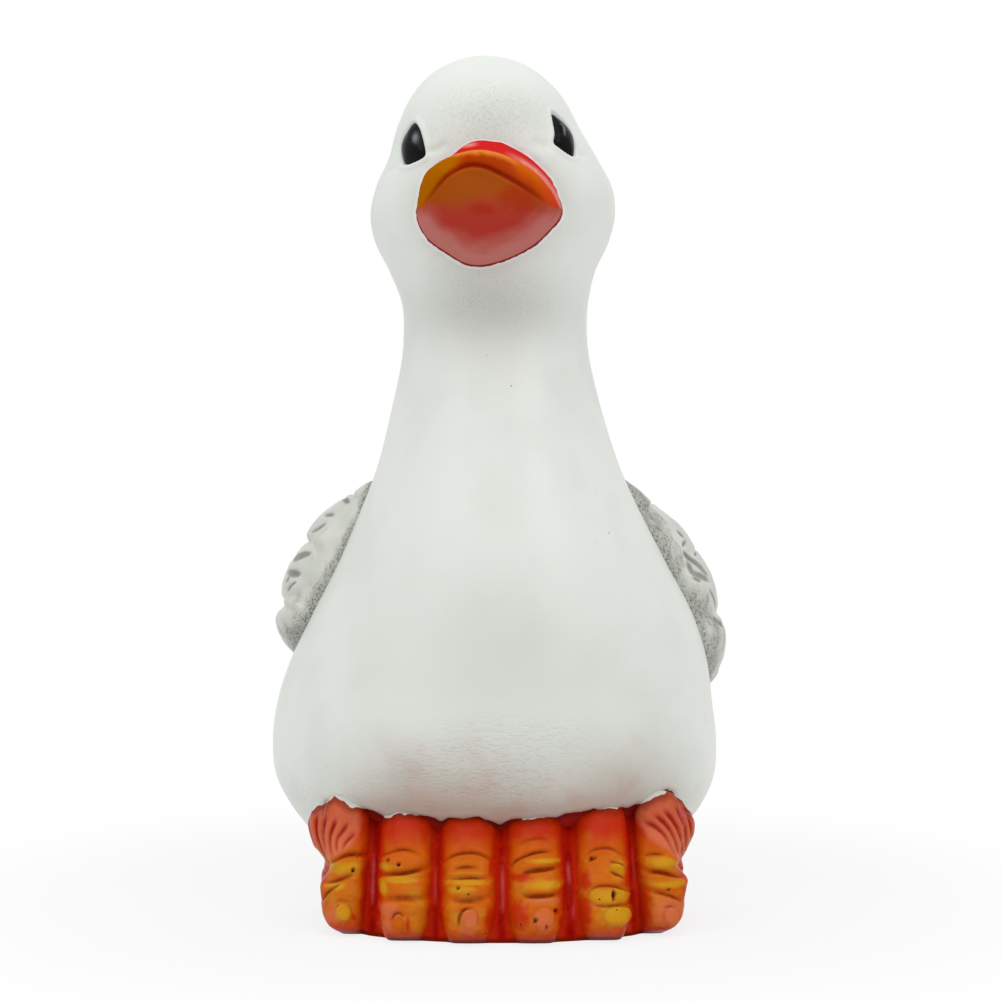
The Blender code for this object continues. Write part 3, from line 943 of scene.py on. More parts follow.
# The edge of the white paint over the feet, from the duck's right to its left: X and height
PAINT_EDGE = (
    (-60.0, 23.0), (-48.0, 24.0), (-43.8, 25.5), (-40.4, 26.7), (-37.3, 29.3), (-33.3, 27.3),
    (-28.5, 26.7), (-25.6, 25.1), (-22.7, 26.7), (-15.6, 26.0), (-13.0, 25.1), (-11.6, 25.8),
    (-4.5, 26.2), (-0.1, 24.4), (2.5, 25.5), (10.5, 26.0), (12.3, 25.5), (13.8, 26.7), (20.3, 27.5),
    (29.1, 27.3), (33.1, 28.4), (38.0, 30.4), (40.9, 28.2), (45.0, 25.4), (60.0, 23.0),
)


def above_edge(points: Points) -> Points:
    """Height of places above the edge of the white paint; behind the feet the edge is at the base."""
    edge = np.interp(points[:, 0], *np.array(PAINT_EDGE).T)
    edge = edge + 0.35 * ripple(points, 3.2, 2.0)
    behind = ease(-34.0, -14.0, points[:, 1])
    return points[:, 2] - edge * (1.0 - behind) + 6.0 * behind


@dataclass(frozen=True)
class Eye:
    """One eye: where it sits, its outline on the head, level and up from there, and the stroke of its painted
    glint.
    """

    name: str
    bearing: float
    height: float
    outline: Outline
    lid: Outline
    painted_glint: Stroke


EYES = (
    Eye(
        "right_eye",
        -43.9,
        176.8,
        (
            (-2.5, 6.3), (1.0, 4.2), (3.1, 1.4), (4.5, -1.4), (4.9, -3.2), (-1.7, -5.1),
            (-4.2, -2.9), (-5.9, -0.2), (-5.7, 2.0), (-4.2, 4.0),
        ),
        ((-0.5, 7.4), (-5.0, 6.2), (-8.0, 2.6), (-8.4, -1.0)),
        Stroke(((0.5, 2.5), (1.7, 0.5)), 0.7, 0.0),
    ),
    Eye(
        "left_eye",
        40.9,
        178.8,
        (
            (-0.3, 7.2), (2.6, 5.2), (4.5, 3.0), (4.9, 0.4), (3.6, -2.2), (1.6, -5.4), (-0.9, -4.4),
            (-2.7, -3.1), (-4.0, -1.8), (-2.5, 0.2), (-1.8, 2.6),
        ),
        ((0.8, 7.8), (5.0, 5.6), (7.4, 2.2), (7.6, -1.4)),
        Stroke(((0.1, 2.9), (0.7, 2.3), (-0.5, -0.3)), 0.28, 0.0),
    ),
)


@dataclass
class Body:
    """Torso, neck and head: one skin through the level sections, with the face carved into it."""

    segments: int = 300
    rings: int = 310
    underside: float = 0.016
    frontal: float = 0.45
    socket_depth: float = 1.5
    socket_wall: float = 0.8
    rim_height: float = 0.34
    paint_thickness: float = 0.34
    face_y: float = -8.0
    creases: tuple[Stroke, ...] = (
        Stroke(((-13.0, 176.2), (-14.4, 175.2), (-16.0, 175.0)), 0.9, 0.35),
        Stroke(((8.6, 176.6), (9.9, 176.0), (11.2, 176.6)), 1.3, 0.4),
        Stroke(((-25.6, 171.4), (-24.0, 172.2), (-22.6, 173.4)), 0.7, 0.35),
        Stroke(((16.6, 175.0), (18.0, 174.6), (19.6, 174.9)), 0.7, 0.35),
    )
    thigh_folds: tuple[tuple[Outline, float], ...] = (
        (((47.5, 50.0), (47.2, 42.0), (44.0, 34.0), (41.0, 29.0)), 0.6),
        (((-47.0, 44.0), (-45.0, 34.0), (-41.5, 28.5)), 0.35),
    )
    fold_width: float = 2.0

    def ring_heights(self) -> tuple[Points, Points]:
        """Heights of the rings, closer over the head and the edge of the paint.

        Returns:
            Shares of the rings, and the heights there.
        """
        crown = SECTIONS.crown
        height = crown * (1.0 - (1.0 - np.linspace(0.0, 1.0, 5000)) ** 2)
        width = SECTIONS.span(SECTIONS.widths, height)
        middle = (height[1:] + height[:-1]) / 2.0
        closeness = 1.0 + 1.7 * ease(142.0, 152.0, middle) + 1.2 * bell(middle - 27.0, 7.0)
        steps = np.hypot(np.diff(height), np.diff(width)) * closeness
        total = np.concatenate([[0.0], np.cumsum(steps)])
        share = self.underside + (1.0 - self.underside) * total / total[-1]
        return share, height

    def model(self) -> Clay:
        """The smooth skin."""
        ball, points = unit_ball(self.segments, self.rings)
        rise = 1.0 - np.arccos(np.clip(points[:, 2], -1.0, 1.0)) / math.pi
        share, heights = self.ring_heights()
        level = np.interp(rise, share, heights)
        closing = np.clip(rise / self.underside, 0.0, 1.0)
        bearing = np.arctan2(points[:, 0], -points[:, 1])
        bearing = bearing - self.frontal * np.sin(bearing)
        across = signed_power(np.sin(bearing), 2.0 / SECTIONS.squareness)
        along = signed_power(-np.cos(bearing), 2.0 / SECTIONS.squareness)
        deep = np.where(along < 0.0, SECTIONS.span(SECTIONS.fore, level), SECTIONS.span(SECTIONS.aft, level))
        wide = SECTIONS.span(SECTIONS.widths, level)
        x = SECTIONS.through(SECTIONS.middles, level) + wide * closing * across
        y = SECTIONS.through(SECTIONS.widests, level) + deep * closing * along
        return Clay("body", shaped(ball, np.stack([x, y, level], axis=1)))

    def carve_eye(self, eye: Eye, points: Points) -> Points:
        """The socket of an eye, its rim and the fold outside it.

        Args:
            eye: The eye.
            points: The skin's points.

        Returns:
            How far each point rises.
        """
        level, climb, outward = SECTIONS.tangents(eye.bearing, eye.height)
        away = points - np.array(SECTIONS.surface(eye.bearing, eye.height))
        flat = np.stack([away @ np.array(level), away @ np.array(climb)], axis=1)
        near = (np.abs(away @ np.array(outward)) < 8.0) & (np.hypot(*flat.T) < 14.0)
        heights = np.zeros(len(points))
        within = inside_loop(flat[near], rounded(eye.outline, True, 2))
        sunk = -self.socket_depth * ease(-0.25, self.socket_wall, within)
        rim = self.rim_height * bell(within + 0.75, 0.6)
        gap, share = to_path(flat[near], rounded(eye.lid, False))
        fold = -0.3 * bell(gap, 0.7) * np.sin(math.pi * np.clip(share, 0.0, 1.0))
        heights[near] = sunk + rim + fold
        return heights

    def carve_face(self, points: Points) -> Points:
        """Shallow creases beside the eyes and the hollows under them.

        Args:
            points: The skin's points.

        Returns:
            How far each point rises.
        """
        front = points[:, 1] < self.face_y
        heights = np.zeros(len(points))
        for crease in self.creases:
            gap, _ = to_path(points[:, (0, 2)], rounded(crease.path, False))
            heights -= crease.depth * bell(gap, crease.width) * front
        return heights

    def carve_belly(self, points: Points) -> Points:
        """The folds over the thighs, and the thick edge of the white paint.

        Args:
            points: The skin's points.

        Returns:
            How far each point rises.
        """
        heights = np.zeros(len(points))
        front = ease(4.0, -12.0, points[:, 1])
        for path, depth in self.thigh_folds:
            gap, share = to_path(points[:, (0, 2)], rounded(path, False))
            fading = np.sin(math.pi * np.clip(share, 0.02, 0.98)) ** 0.5
            heights -= depth * bell(gap, self.fold_width) * front * fading
        above = above_edge(points)
        edge = (ease(-0.5, 0.2, above) - 1.0) * self.paint_thickness + 0.16 * bell(above - 0.7, 0.7)
        return heights + edge * ease(-14.0, -26.0, points[:, 1])

    def build(self) -> Clay:
        """The carved skin, marked for its paint."""
        clay = self.model()
        points = clay.points
        heights = self.carve_face(points) + self.carve_belly(points)
        for eye in EYES:
            heights += self.carve_eye(eye, points)
        heights += 0.1 * ripple(points, 26.0, 4.0) * ease(0.0, 20.0, points[:, 2])
        clay.push(heights)
        points = clay.points
        clay.mark("above_edge", above_edge(points))
        gap = np.full(len(points), FAR)
        face = (points[:, 1] < self.face_y) & (points[:, 2] > 140.0)
        gap[face] = -inside_loop(points[face][:, (0, 2)], rounded(BILL_OUTLINE, True, 2))
        clay.mark("bill_gap", gap)
        beside = Spot(7.4, 173.4, 5.2, 4.0).cover(points) + 0.8 * Spot(-15.6, 153.2, 2.4, 2.4).cover(points)
        clay.mark("smear", bell(gap - 1.0, 0.8) * beside * face)
        clay.mark("shadow", self.shadow(points))
        clay.mark("wear", self.wear(points))
        clay.mark("scratched", self.scratched(points))
        clay.mark("stipple", self.stipple(points))
        return clay

    def wear(self, points: Points) -> Points:
        """Where the white is thin: low on the belly."""
        front = ease(0.0, -30.0, points[:, 1])
        height = points[:, 2] + 3.0 * ripple(points, 30.0, 1.0)
        return ease(50.0, 26.0, height) * ease(46.0, 24.0, np.abs(points[:, 0] - 4.0)) * front

    def scratched(self, points: Points) -> Points:
        """Where a brush left ridges: across the middle of the belly."""
        middle = Spot(1.0, 41.0, 20.0, 8.0).cover(points, 0.6)
        lower = 0.7 * Spot(-14.0, 34.0, 20.0, 6.0).cover(points, 0.6)
        return np.clip((middle + lower) * ease(0.0, -30.0, points[:, 1]), 0.0, 1.0)

    def shadow(self, points: Points) -> Points:
        """Where shade is painted into the white: under the chin, on the forehead and down the middle of the
        belly.
        """
        front = ease(-4.0, -16.0, points[:, 1])
        neck = bell(points[:, 2] - 139.0, 8.0) * bell(points[:, 0] + 2.0, 20.0)
        forehead = 0.9 * bell(points[:, 2] - 182.5, 7.0) * bell(points[:, 0] + 2.0, 13.0)
        belly = 0.7 * bell(points[:, 2] - 62.0, 21.0) * bell(points[:, 0], 30.0)
        return np.maximum.reduce([neck, forehead, belly]) * front

    def stipple(self, points: Points) -> Points:
        """Where the white was dabbed: the forehead, under the bill and low on the belly."""
        front = ease(-10.0, -24.0, points[:, 1])
        forehead = bell(points[:, 2] - 183.0, 8.5) * bell(points[:, 0] + 2.0, 13.0)
        chin = bell(points[:, 2] - 141.0, 7.0) * bell(points[:, 0] + 3.0, 17.0)
        belly = 0.5 * ease(42.0, 28.0, points[:, 2])
        return np.clip((0.9 * forehead + 0.6 * chin + belly) * front, 0.0, 1.0)


# Eyes


@dataclass
class EyeBead:
    """A glossy bead that fills its socket."""

    eye: Eye
    dome: float = 2.3
    sunk: float = 1.35
    overlap: float = 1.1
    depth: float = 3.0

    def build(self) -> Clay:
        """The bead: a dome whose outline is a little wider than the socket."""
        ball, points = unit_ball(64, 48)
        loop = np.array(rounded(self.eye.outline, True, 3))
        middle = loop.mean(axis=0)
        angles = np.arctan2(loop[:, 1] - middle[1], loop[:, 0] - middle[0])
        radii = np.hypot(*(loop - middle).T)
        order = np.argsort(angles)
        spot = np.arctan2(points[:, 1], points[:, 0])
        radius = np.interp(spot, angles[order], radii[order], period=2.0 * math.pi)
        flat = np.hypot(points[:, 0], points[:, 1]) * radius * self.overlap
        level, climb, outward = SECTIONS.tangents(self.eye.bearing, self.eye.height)
        across = middle[0] + flat * np.cos(spot)
        up = middle[1] + flat * np.sin(spot)
        out = points[:, 2] * np.where(points[:, 2] > 0.0, self.dome, self.depth) - self.sunk
        centre = np.array(SECTIONS.surface(self.eye.bearing, self.eye.height))
        curve = 0.5 * (across**2 / 26.0 + up**2 / 34.0)
        placed = (
            centre
            + across[:, None] * np.array(level)
            + up[:, None] * np.array(climb)
            + (out - curve)[:, None] * np.array(outward)
        )
        clay = Clay(self.eye.name, shaped(ball, placed))
        clay.mark("rim", ease(0.6, 1.0, np.hypot(points[:, 0], points[:, 1])))
        # where the painted glint lies on the front of the bead
        clay.mark("painted_glint", self.eye.painted_glint.across(np.stack([across, up], axis=1))[0] * (points[:, 2] > 0.0))
        return clay


# Bill, drawn from the front: where it meets the face, the upper edge of its lip, and the line of the mouth


BILL_OUTLINE = (
    (-11.3, 172.9), (-8.2, 175.7), (-4.8, 176.8), (-1.2, 176.3), (0.4, 176.2), (2.2, 175.3),
    (5.8, 173.5), (8.4, 171.4), (11.1, 168.8), (12.6, 166.1), (13.5, 163.5), (14.2, 161.5),
    (13.6, 159.5), (11.1, 156.8), (8.0, 153.7), (3.3, 151.1), (-0.7, 149.6), (-4.6, 148.8),
    (-7.7, 149.2), (-10.4, 150.6), (-12.2, 151.9), (-15.1, 153.7), (-17.2, 155.7), (-18.6, 158.4),
    (-19.2, 160.3), (-19.0, 162.3), (-18.2, 166.4), (-17.6, 168.7), (-16.3, 170.5),
)
LIP_EDGE = (
    (-19.0, 172.4), (-11.5, 172.5), (-8.4, 172.6), (-4.4, 173.1), (-0.6, 172.4), (3.1, 170.9),
    (6.9, 168.9), (9.5, 166.7), (11.9, 163.8), (13.0, 161.6),
)
MOUTH = (
    (-17.6, 161.3), (-16.1, 163.0), (-13.5, 165.8), (-11.2, 167.9), (-7.9, 169.5), (-5.6, 169.7),
    (-2.9, 169.2), (0.6, 167.5), (4.4, 165.5), (7.7, 163.5), (10.6, 161.4),
)


# Heights at which a wing or an ankle is drawn to its outline
LEVELS = np.arange(0.0, 110.0, 0.5)


def to_outline(out: Points, heights: Points, root: Points, wanted: Points) -> Points:
    """Draws places in or out until they reach as far as the outline seen from the front.

    Args:
        out: How far out each place is.
        heights: The height of each place.
        root: How far out the places stay that aren't moved, at each of the LEVELS.
        wanted: The reach at each of the LEVELS, or not a number where it may stay.

    Returns:
        How far out each place is now.
    """
    reached = np.zeros(len(LEVELS))
    bands = np.clip(np.round(heights / LEVELS[1]).astype(int), 0, len(LEVELS) - 1)
    np.maximum.at(reached, bands, out)
    share = (wanted - root) / np.maximum(reached - root, 1.0)
    share[np.isnan(share) | (reached < root + 1.0)] = 1.0
    share = np.convolve(np.pad(np.clip(share, 0.0, 1.6), 1, mode="edge"), np.full(3, 1.0 / 3.0), mode="valid")
    base = np.interp(heights, LEVELS, root)
    beyond = np.maximum(out - base, 0.0)
    return out + beyond * (np.interp(heights, LEVELS, share) - 1.0)


def along_levels(outline: Outline, beyond: Points) -> Points:
    """The reach of an outline, given from the top down, at each of the LEVELS, and this beyond its ends."""
    heights, reach = np.array(outline[::-1]).T
    within = (LEVELS <= heights[-1]) & (LEVELS >= heights[0])
    return np.where(within, np.interp(LEVELS, heights, reach), beyond)


def over(line: Outline, places: Points) -> Points:
    """Signed distance of places from a line that runs across, above 0 over it."""
    path = rounded(line, False)
    gap, _ = to_path(places, path, FAR)
    return np.where(places[:, 1] > np.interp(places[:, 0], *np.array(path).T), gap, -gap)


@dataclass
class Bill:
    """A broad bill: a rounded lip over a deep spoon, drawn forward out of its outline on the face."""

    middle: tuple[float, float] = (-3.6, 164.4)
    tip_y: float = -56.5
    turn: float = 0.06
    sunk: float = 1.0
    buried: float = 9.0
    bluntness: float = 2.2
    lip_rise: float = 0.7
    groove: Stroke = Stroke(MOUTH, 0.65, 0.5)
    patches: tuple[Spot, ...] = (Spot(3.8, 162.8, 4.4, 3.0), Spot(-4.4, 160.0, 3.0, 1.2))
    # a painted highlight on top of the bill
    painted_shine: Spot = Spot(-7.0, 174.6, 1.5, 0.6)

    def reach(self, bearing: Points) -> Points:
        """Distance from the middle to the outline at a bearing in the front view."""
        away = np.array(rounded(BILL_OUTLINE, True, 2)) - self.middle
        angles = np.arctan2(away[:, 1], away[:, 0])
        order = np.argsort(angles)
        return np.interp(bearing, angles[order], np.hypot(*away.T)[order], period=2.0 * math.pi)

    def build(self) -> Clay:
        """The carved bill, marked for its paint."""
        ball, points = unit_ball(240, 220)
        bearing = np.arctan2(points[:, 1], points[:, 0])
        share = np.hypot(points[:, 0], points[:, 1])
        reach = self.reach(bearing)
        middle_x, middle_z = self.middle
        x = middle_x + reach * share * np.cos(bearing)
        z = middle_z + reach * share * np.sin(bearing)
        rim = np.stack([middle_x + reach * np.cos(bearing), middle_z + reach * np.sin(bearing)], axis=1)
        root = SECTIONS.front(rim) + self.sunk
        fullness = np.interp(np.sin(bearing), (-1.0, 0.0, 1.0), (2.2, 3.6, 4.6))
        forward = np.maximum(1.0 - share**fullness, 0.0) ** (1.0 / self.bluntness)
        tip = self.tip_y + self.turn * (x - middle_x)
        y = np.where(points[:, 2] > 0.0, root + (tip - root) * forward, root - self.buried * points[:, 2])
        clay = Clay("bill", shaped(ball, np.stack([x, y, z], axis=1)))
        flat = np.stack([x, z], axis=1)
        front = (points[:, 2] > 0.0).astype(float)
        over_mouth, over_lip = over(MOUTH, flat), over(LIP_EDGE, flat)
        cut, _ = self.groove.across(flat, 0.04)
        between = np.clip(over_mouth / np.maximum(over_mouth - over_lip, 0.01), 0.0, 1.0)
        lip = np.sin(math.pi * between) ** 0.6 * (over_mouth > 0.0) * (over_lip < 0.0)
        lip *= ease(-17.5, -12.0, x) * ease(12.5, 8.0, x)
        under = 0.3 * bell(over_mouth + 1.1, 0.8) * ease(-14.0, -10.0, x) * ease(8.0, 3.0, x)
        clay.push((self.lip_rise * lip + under - self.groove.depth * cut) * front * ease(1.0, 0.85, share))
        clay.mark("over_mouth", over_mouth)
        clay.mark("over_lip", over_lip)
        clay.mark("cut", cut * front)
        clay.mark("edge", (1.0 - share) * reach * front)
        clay.mark("root", ease(5.0, 2.5, SECTIONS.clearance(clay.points)))
        clay.mark("centre", np.maximum.reduce([spot.cover(clay.points, 0.95) for spot in self.patches]))
        # painted highlights: pale pink just above the lip's upper edge on the right, and a small spot on top
        line = bell(over_lip - 0.6, 0.7) * ease(0.0, 6.0, x)
        clay.mark("painted_sheen", np.maximum(line, self.painted_shine.cover(clay.points, 0.8)))
        return clay


# Wings


@dataclass(frozen=True)
class FeatherRow:
    """One row of a wing: the middle's Y and height, how far it stands out, and its half sizes."""

    y: float
    height: float
    proud: float
    half_length: float
    half_height: float


@dataclass
class Wing:
    """A folded wing: a smooth leading pad, and rows of feathers that wrap the back and droop."""

    name: str
    side: int
    shoulder: tuple[float, float]
    wrist: tuple[float, float]
    rows: tuple[FeatherRow, ...]
    strokes: tuple[Stroke, ...]
    stipple_width: tuple[float, float]
    outline: Outline
    pad_thickness: float = 7.6
    pad_depth: float = 12.0
    pad_proud: float = 6.4
    pad_overrun: float = 5.0
    row_thickness: float = 8.6
    feathers: int = 3
    feather_length: float = 17.0
    feather_height: float = 5.4
    feather_thickness: float = 6.2
    pitch: float = 19.0
    fan: float = 9.0
    wrap_start: float = 12.0
    wrap_radius: float = 44.0
    quills: int = 4
    quill_spacing: float = 7.0
    quill_fall: float = 0.34
    quill_depth: float = 0.5
    inside: float = 6.0
    grain: float = 0.38
    softening: int = 5

    def beside(self, y: float, height: float, proud: float, thickness: float) -> Vector:
        """Middle of a pad of this half thickness whose face stands proud of the torso's side."""
        return Vector((SECTIONS.side_x(self.side, height) + self.side * (proud - thickness), y, height))

    def wrapped(self, points: Points) -> Points:
        """Bends the points of a wing in round the back."""
        behind = np.maximum(points[:, 1] - self.wrap_start, 0.0)
        bent = points.copy()
        across = np.sqrt(np.maximum(self.wrap_radius**2 - behind**2, 0.0))
        bent[:, 0] -= self.side * (self.wrap_radius - across)
        return bent

    def drooping(self, degrees: float) -> Vector:
        """The direction that points back and this much down."""
        droop = math.radians(degrees)
        return Vector((0.0, math.cos(droop), -math.sin(droop)))

    def forms(self) -> list[tuple]:
        """The leading pad, the rows and their feathers, as spheres with their places."""
        shoulder = self.beside(*self.shoulder, self.pad_proud, self.pad_thickness)
        wrist = self.beside(*self.wrist, self.pad_proud, self.pad_thickness)
        reach = wrist - shoulder
        size = (self.pad_thickness, reach.length / 2.0 + self.pad_overrun, self.pad_depth)
        made = [pad((shoulder + wrist) / 2.0, size, along_axis(reach, Vector((0.0, 1.0, 0.0))), 64, 64)]
        for row in self.rows:
            centre = self.beside(row.y, row.height, row.proud, self.row_thickness)
            back = self.drooping(self.pitch)
            size = (self.row_thickness, row.half_length, row.half_height)
            ball, points = pad(centre, size, along_axis(back), 64, 64)
            made.append((ball, self.wrapped(points)))
            size = (self.feather_thickness, self.feather_length, self.feather_height)
            for number in range(self.feathers):
                fan = number - (self.feathers - 1) / 2.0
                root = centre + back * (row.half_length - self.feather_length / 2.0)
                root.z -= fan * self.feather_height
                ball, points = pad(root, size, along_axis(self.drooping(self.pitch + fan * self.fan)), 64, 64)
                made.append((ball, self.wrapped(points)))
        return made

    def cuts(self, points: Points, normals: Points) -> Points:
        """Depth of the strokes that were cut into the wing.

        Args:
            points: The wing's points.
            normals: Their outward directions.

        Returns:
            Depths from 0 up.
        """
        depth = np.zeros(len(points))
        ahead = ease(20.0, 13.0, points[:, 1]) * ease(0.2, -0.2, normals[:, 1])
        for stroke in self.strokes:
            depth = np.maximum(depth, stroke.depth * stroke.across(points[:, (0, 2)])[0] * ahead)
        outer = ease(0.2, 0.6, normals[:, 0] * self.side) * ease(22.0, 26.0, points[:, 1])
        for row in self.rows:
            for number in range(self.quills):
                y = row.y + 2.0 + self.quill_spacing * number
                z = row.height + 0.42 * row.half_height - self.quill_fall * self.quill_spacing * number
                path = ((y, z + 2.6), (y + 4.0, z + 0.6), (y + 8.4, z - 3.4))
                gap, share = to_path(points[:, (1, 2)], rounded(path, False))
                taper = np.sqrt(np.clip(4.0 * share * (1.0 - share), 0.05, 1.0))
                depth = np.maximum(depth, self.quill_depth * bell(gap, 0.5) * taper * outer)
        return depth

    def outlined(self, points: Points) -> Points:
        """Draws the wing in or out from the torso, until its outline is the one seen from the front.

        Args:
            points: The fused wing's points.

        Returns:
            Their new places.
        """
        torso = np.array([self.side * SECTIONS.side_x(self.side, height) for height in LEVELS])
        wanted = along_levels(self.outline, torso - 1.0)
        moved = points.copy()
        out = to_outline(self.side * points[:, 0], points[:, 2], torso - self.inside, wanted)
        moved[:, 0] = self.side * out
        return moved

    def build(self) -> Clay:
        """The fused and carved wing."""
        clay = Clay(self.name, joined(self.forms()))
        clay.fuse(self.grain, self.softening)
        clay.place(self.outlined(clay.points))
        points = clay.points
        cuts = self.cuts(points, clay.normals)
        uneven = 0.07 * ripple(points, 9.0, 3.0 + self.side)
        clay.push(uneven - cuts)
        clay.mark("cut", ease(0.12, 0.4, cuts))
        low, high = self.stipple_width
        width = low + (high - low) * ease(95.0, 55.0, points[:, 2])
        near = np.clip(1.0 - SECTIONS.clearance(points) / width, 0.0, 1.0) * ease(16.0, 8.0, points[:, 1])
        clay.mark("near_body", near)
        return clay


RIGHT_WING = Wing(
    "right_wing",
    -1,
    (5.0, 94.2), (11.0, 61.5),
    (
        FeatherRow(17.0, 84.0, 9.2, 17.0, 10.4),
        FeatherRow(19.5, 71.4, 10.2, 22.0, 10.8),
        FeatherRow(22.0, 60.4, 7.3, 25.0, 8.6),
    ),
    (
        Stroke(((-38.6, 94.6), (-36.4, 94.0)), 0.55, 0.7),
        Stroke(((-42.9, 90.6), (-39.8, 91.1)), 0.6, 0.45),
        Stroke(((-46.2, 86.2), (-44.0, 87.4), (-41.8, 89.1)), 0.35, 0.5),
        Stroke(((-50.6, 79.6), (-48.0, 81.2), (-45.7, 81.8)), 0.65, 0.9),
        Stroke(((-51.8, 76.6), (-48.2, 76.8)), 0.85, 0.9),
        Stroke(((-52.1, 74.2), (-51.0, 75.9)), 0.35, 0.5),
        Stroke(((-51.7, 71.9), (-50.4, 74.0), (-48.8, 74.9)), 0.35, 0.5),
    ),
    (2.2, 10.5),
    (
        (99.6, 30.2), (98.8, 31.6), (97.5, 33.9), (95.4, 36.6), (93.2, 40.4), (91.1, 43.2),
        (88.7, 45.5), (86.4, 47.1), (85.4, 47.5), (84.2, 47.0), (83.0, 48.1), (81.0, 49.8),
        (79.5, 50.9), (76.5, 52.4), (73.9, 53.3), (71.0, 53.7), (69.7, 53.2), (68.4, 52.2),
        (67.4, 53.8), (66.0, 54.7), (64.7, 55.1), (61.8, 54.6), (58.8, 53.2), (55.9, 51.0),
        (54.6, 49.6),
    ),
)
LEFT_WING = Wing(
    "left_wing",
    1,
    (5.0, 94.6), (12.0, 57.0),
    (
        FeatherRow(17.0, 81.6, 8.4, 17.0, 10.6),
        FeatherRow(19.5, 69.0, 8.2, 22.0, 11.8),
        FeatherRow(22.0, 55.8, 6.2, 25.0, 11.4),
    ),
    (
        Stroke(((42.6, 87.1), (44.5, 85.1)), 0.35, 0.5),
        Stroke(((44.2, 84.1), (44.7, 83.7)), 0.8, 0.8),
        Stroke(((47.0, 81.5), (47.4, 81.1)), 0.5, 0.6),
        Stroke(((44.1, 82.4), (44.8, 80.9), (47.2, 79.4), (50.3, 76.0)), 0.5, 0.8),
        Stroke(((44.8, 80.0), (45.8, 77.1), (48.3, 76.3), (50.4, 74.7)), 0.6, 0.8),
        Stroke(((46.0, 76.1), (48.2, 74.9)), 0.4, 0.7),
        Stroke(((50.1, 73.4), (52.0, 70.4), (52.4, 67.3)), 0.35, 0.45),
        Stroke(((51.4, 66.1), (54.2, 63.6)), 0.45, 0.8),
    ),
    (6.5, 9.0),
    (
        (99.6, 29.6), (98.8, 30.6), (97.0, 33.3), (93.6, 36.8), (90.6, 40.5), (88.4, 43.3),
        (86.1, 45.3), (82.4, 47.6), (79.0, 49.8), (76.0, 51.4), (72.6, 52.6), (69.3, 53.2),
        (67.4, 53.2), (66.4, 52.7), (65.2, 54.0), (61.8, 55.1), (58.8, 55.2), (55.4, 54.7),
        (53.1, 53.8), (51.2, 53.6), (49.0, 52.1), (47.3, 50.6), (46.4, 49.6),
    ),
)


# Tail


@dataclass
class Tail:
    """A short fan of feathers that turns up behind."""

    x: float = -1.0
    height: float = 31.0
    sunk: float = 5.0
    half_length: float = 17.6
    half_width: float = 8.0
    half_thickness: float = 5.5
    rise: float = 32.0
    feathers: int = 3
    fan: float = 22.0
    grain: float = 0.5

    def build(self) -> Clay:
        """The fused feathers, with a line along each."""
        surface = SECTIONS.surface(180.0, self.height)
        root = Vector((self.x, surface.y - self.sunk, self.height))
        size = (self.half_width, self.half_length, self.half_thickness)
        rise = math.radians(self.rise)
        backs = []
        forms = []
        for number in range(self.feathers):
            fan = math.radians(self.fan) * (number - (self.feathers - 1) / 2.0)
            backs.append(Vector((math.sin(fan), math.cos(fan) * math.cos(rise), math.sin(rise))))
            forms.append(pad(root, size, along_axis(backs[-1])))
        clay = Clay("tail", joined(forms))
        clay.fuse(self.grain, 5)
        points = clay.points
        depth = np.zeros(len(points))
        for back in backs:
            plan = (points[:, :2] - np.array(root.xy)) @ np.array((back.y, -back.x))
            depth = np.maximum(depth, 0.4 * bell(plan, 0.5) * (clay.normals[:, 2] > 0.0))
        clay.push(-depth)
        for name in ("wear", "scratched", "stipple", "smear", "shadow"):
            clay.mark(name, np.zeros(len(points)))
        clay.mark("above_edge", points[:, 2])
        clay.mark("bill_gap", np.full(len(points), FAR))
        return clay


# Feet


@dataclass(frozen=True)
class Toe:
    """One toe, drawn from the front: its middle, its half width, its carving and its painted spots."""

    x: float
    half_width: float
    cuts: tuple[Stroke, ...]
    bulges: tuple[Spot, ...]
    claw: Spot
    yellow: tuple[Spot, ...]
    salmon: tuple[Spot, ...]
    stains: tuple[Spot, ...]
    pits: tuple[Spot, ...]


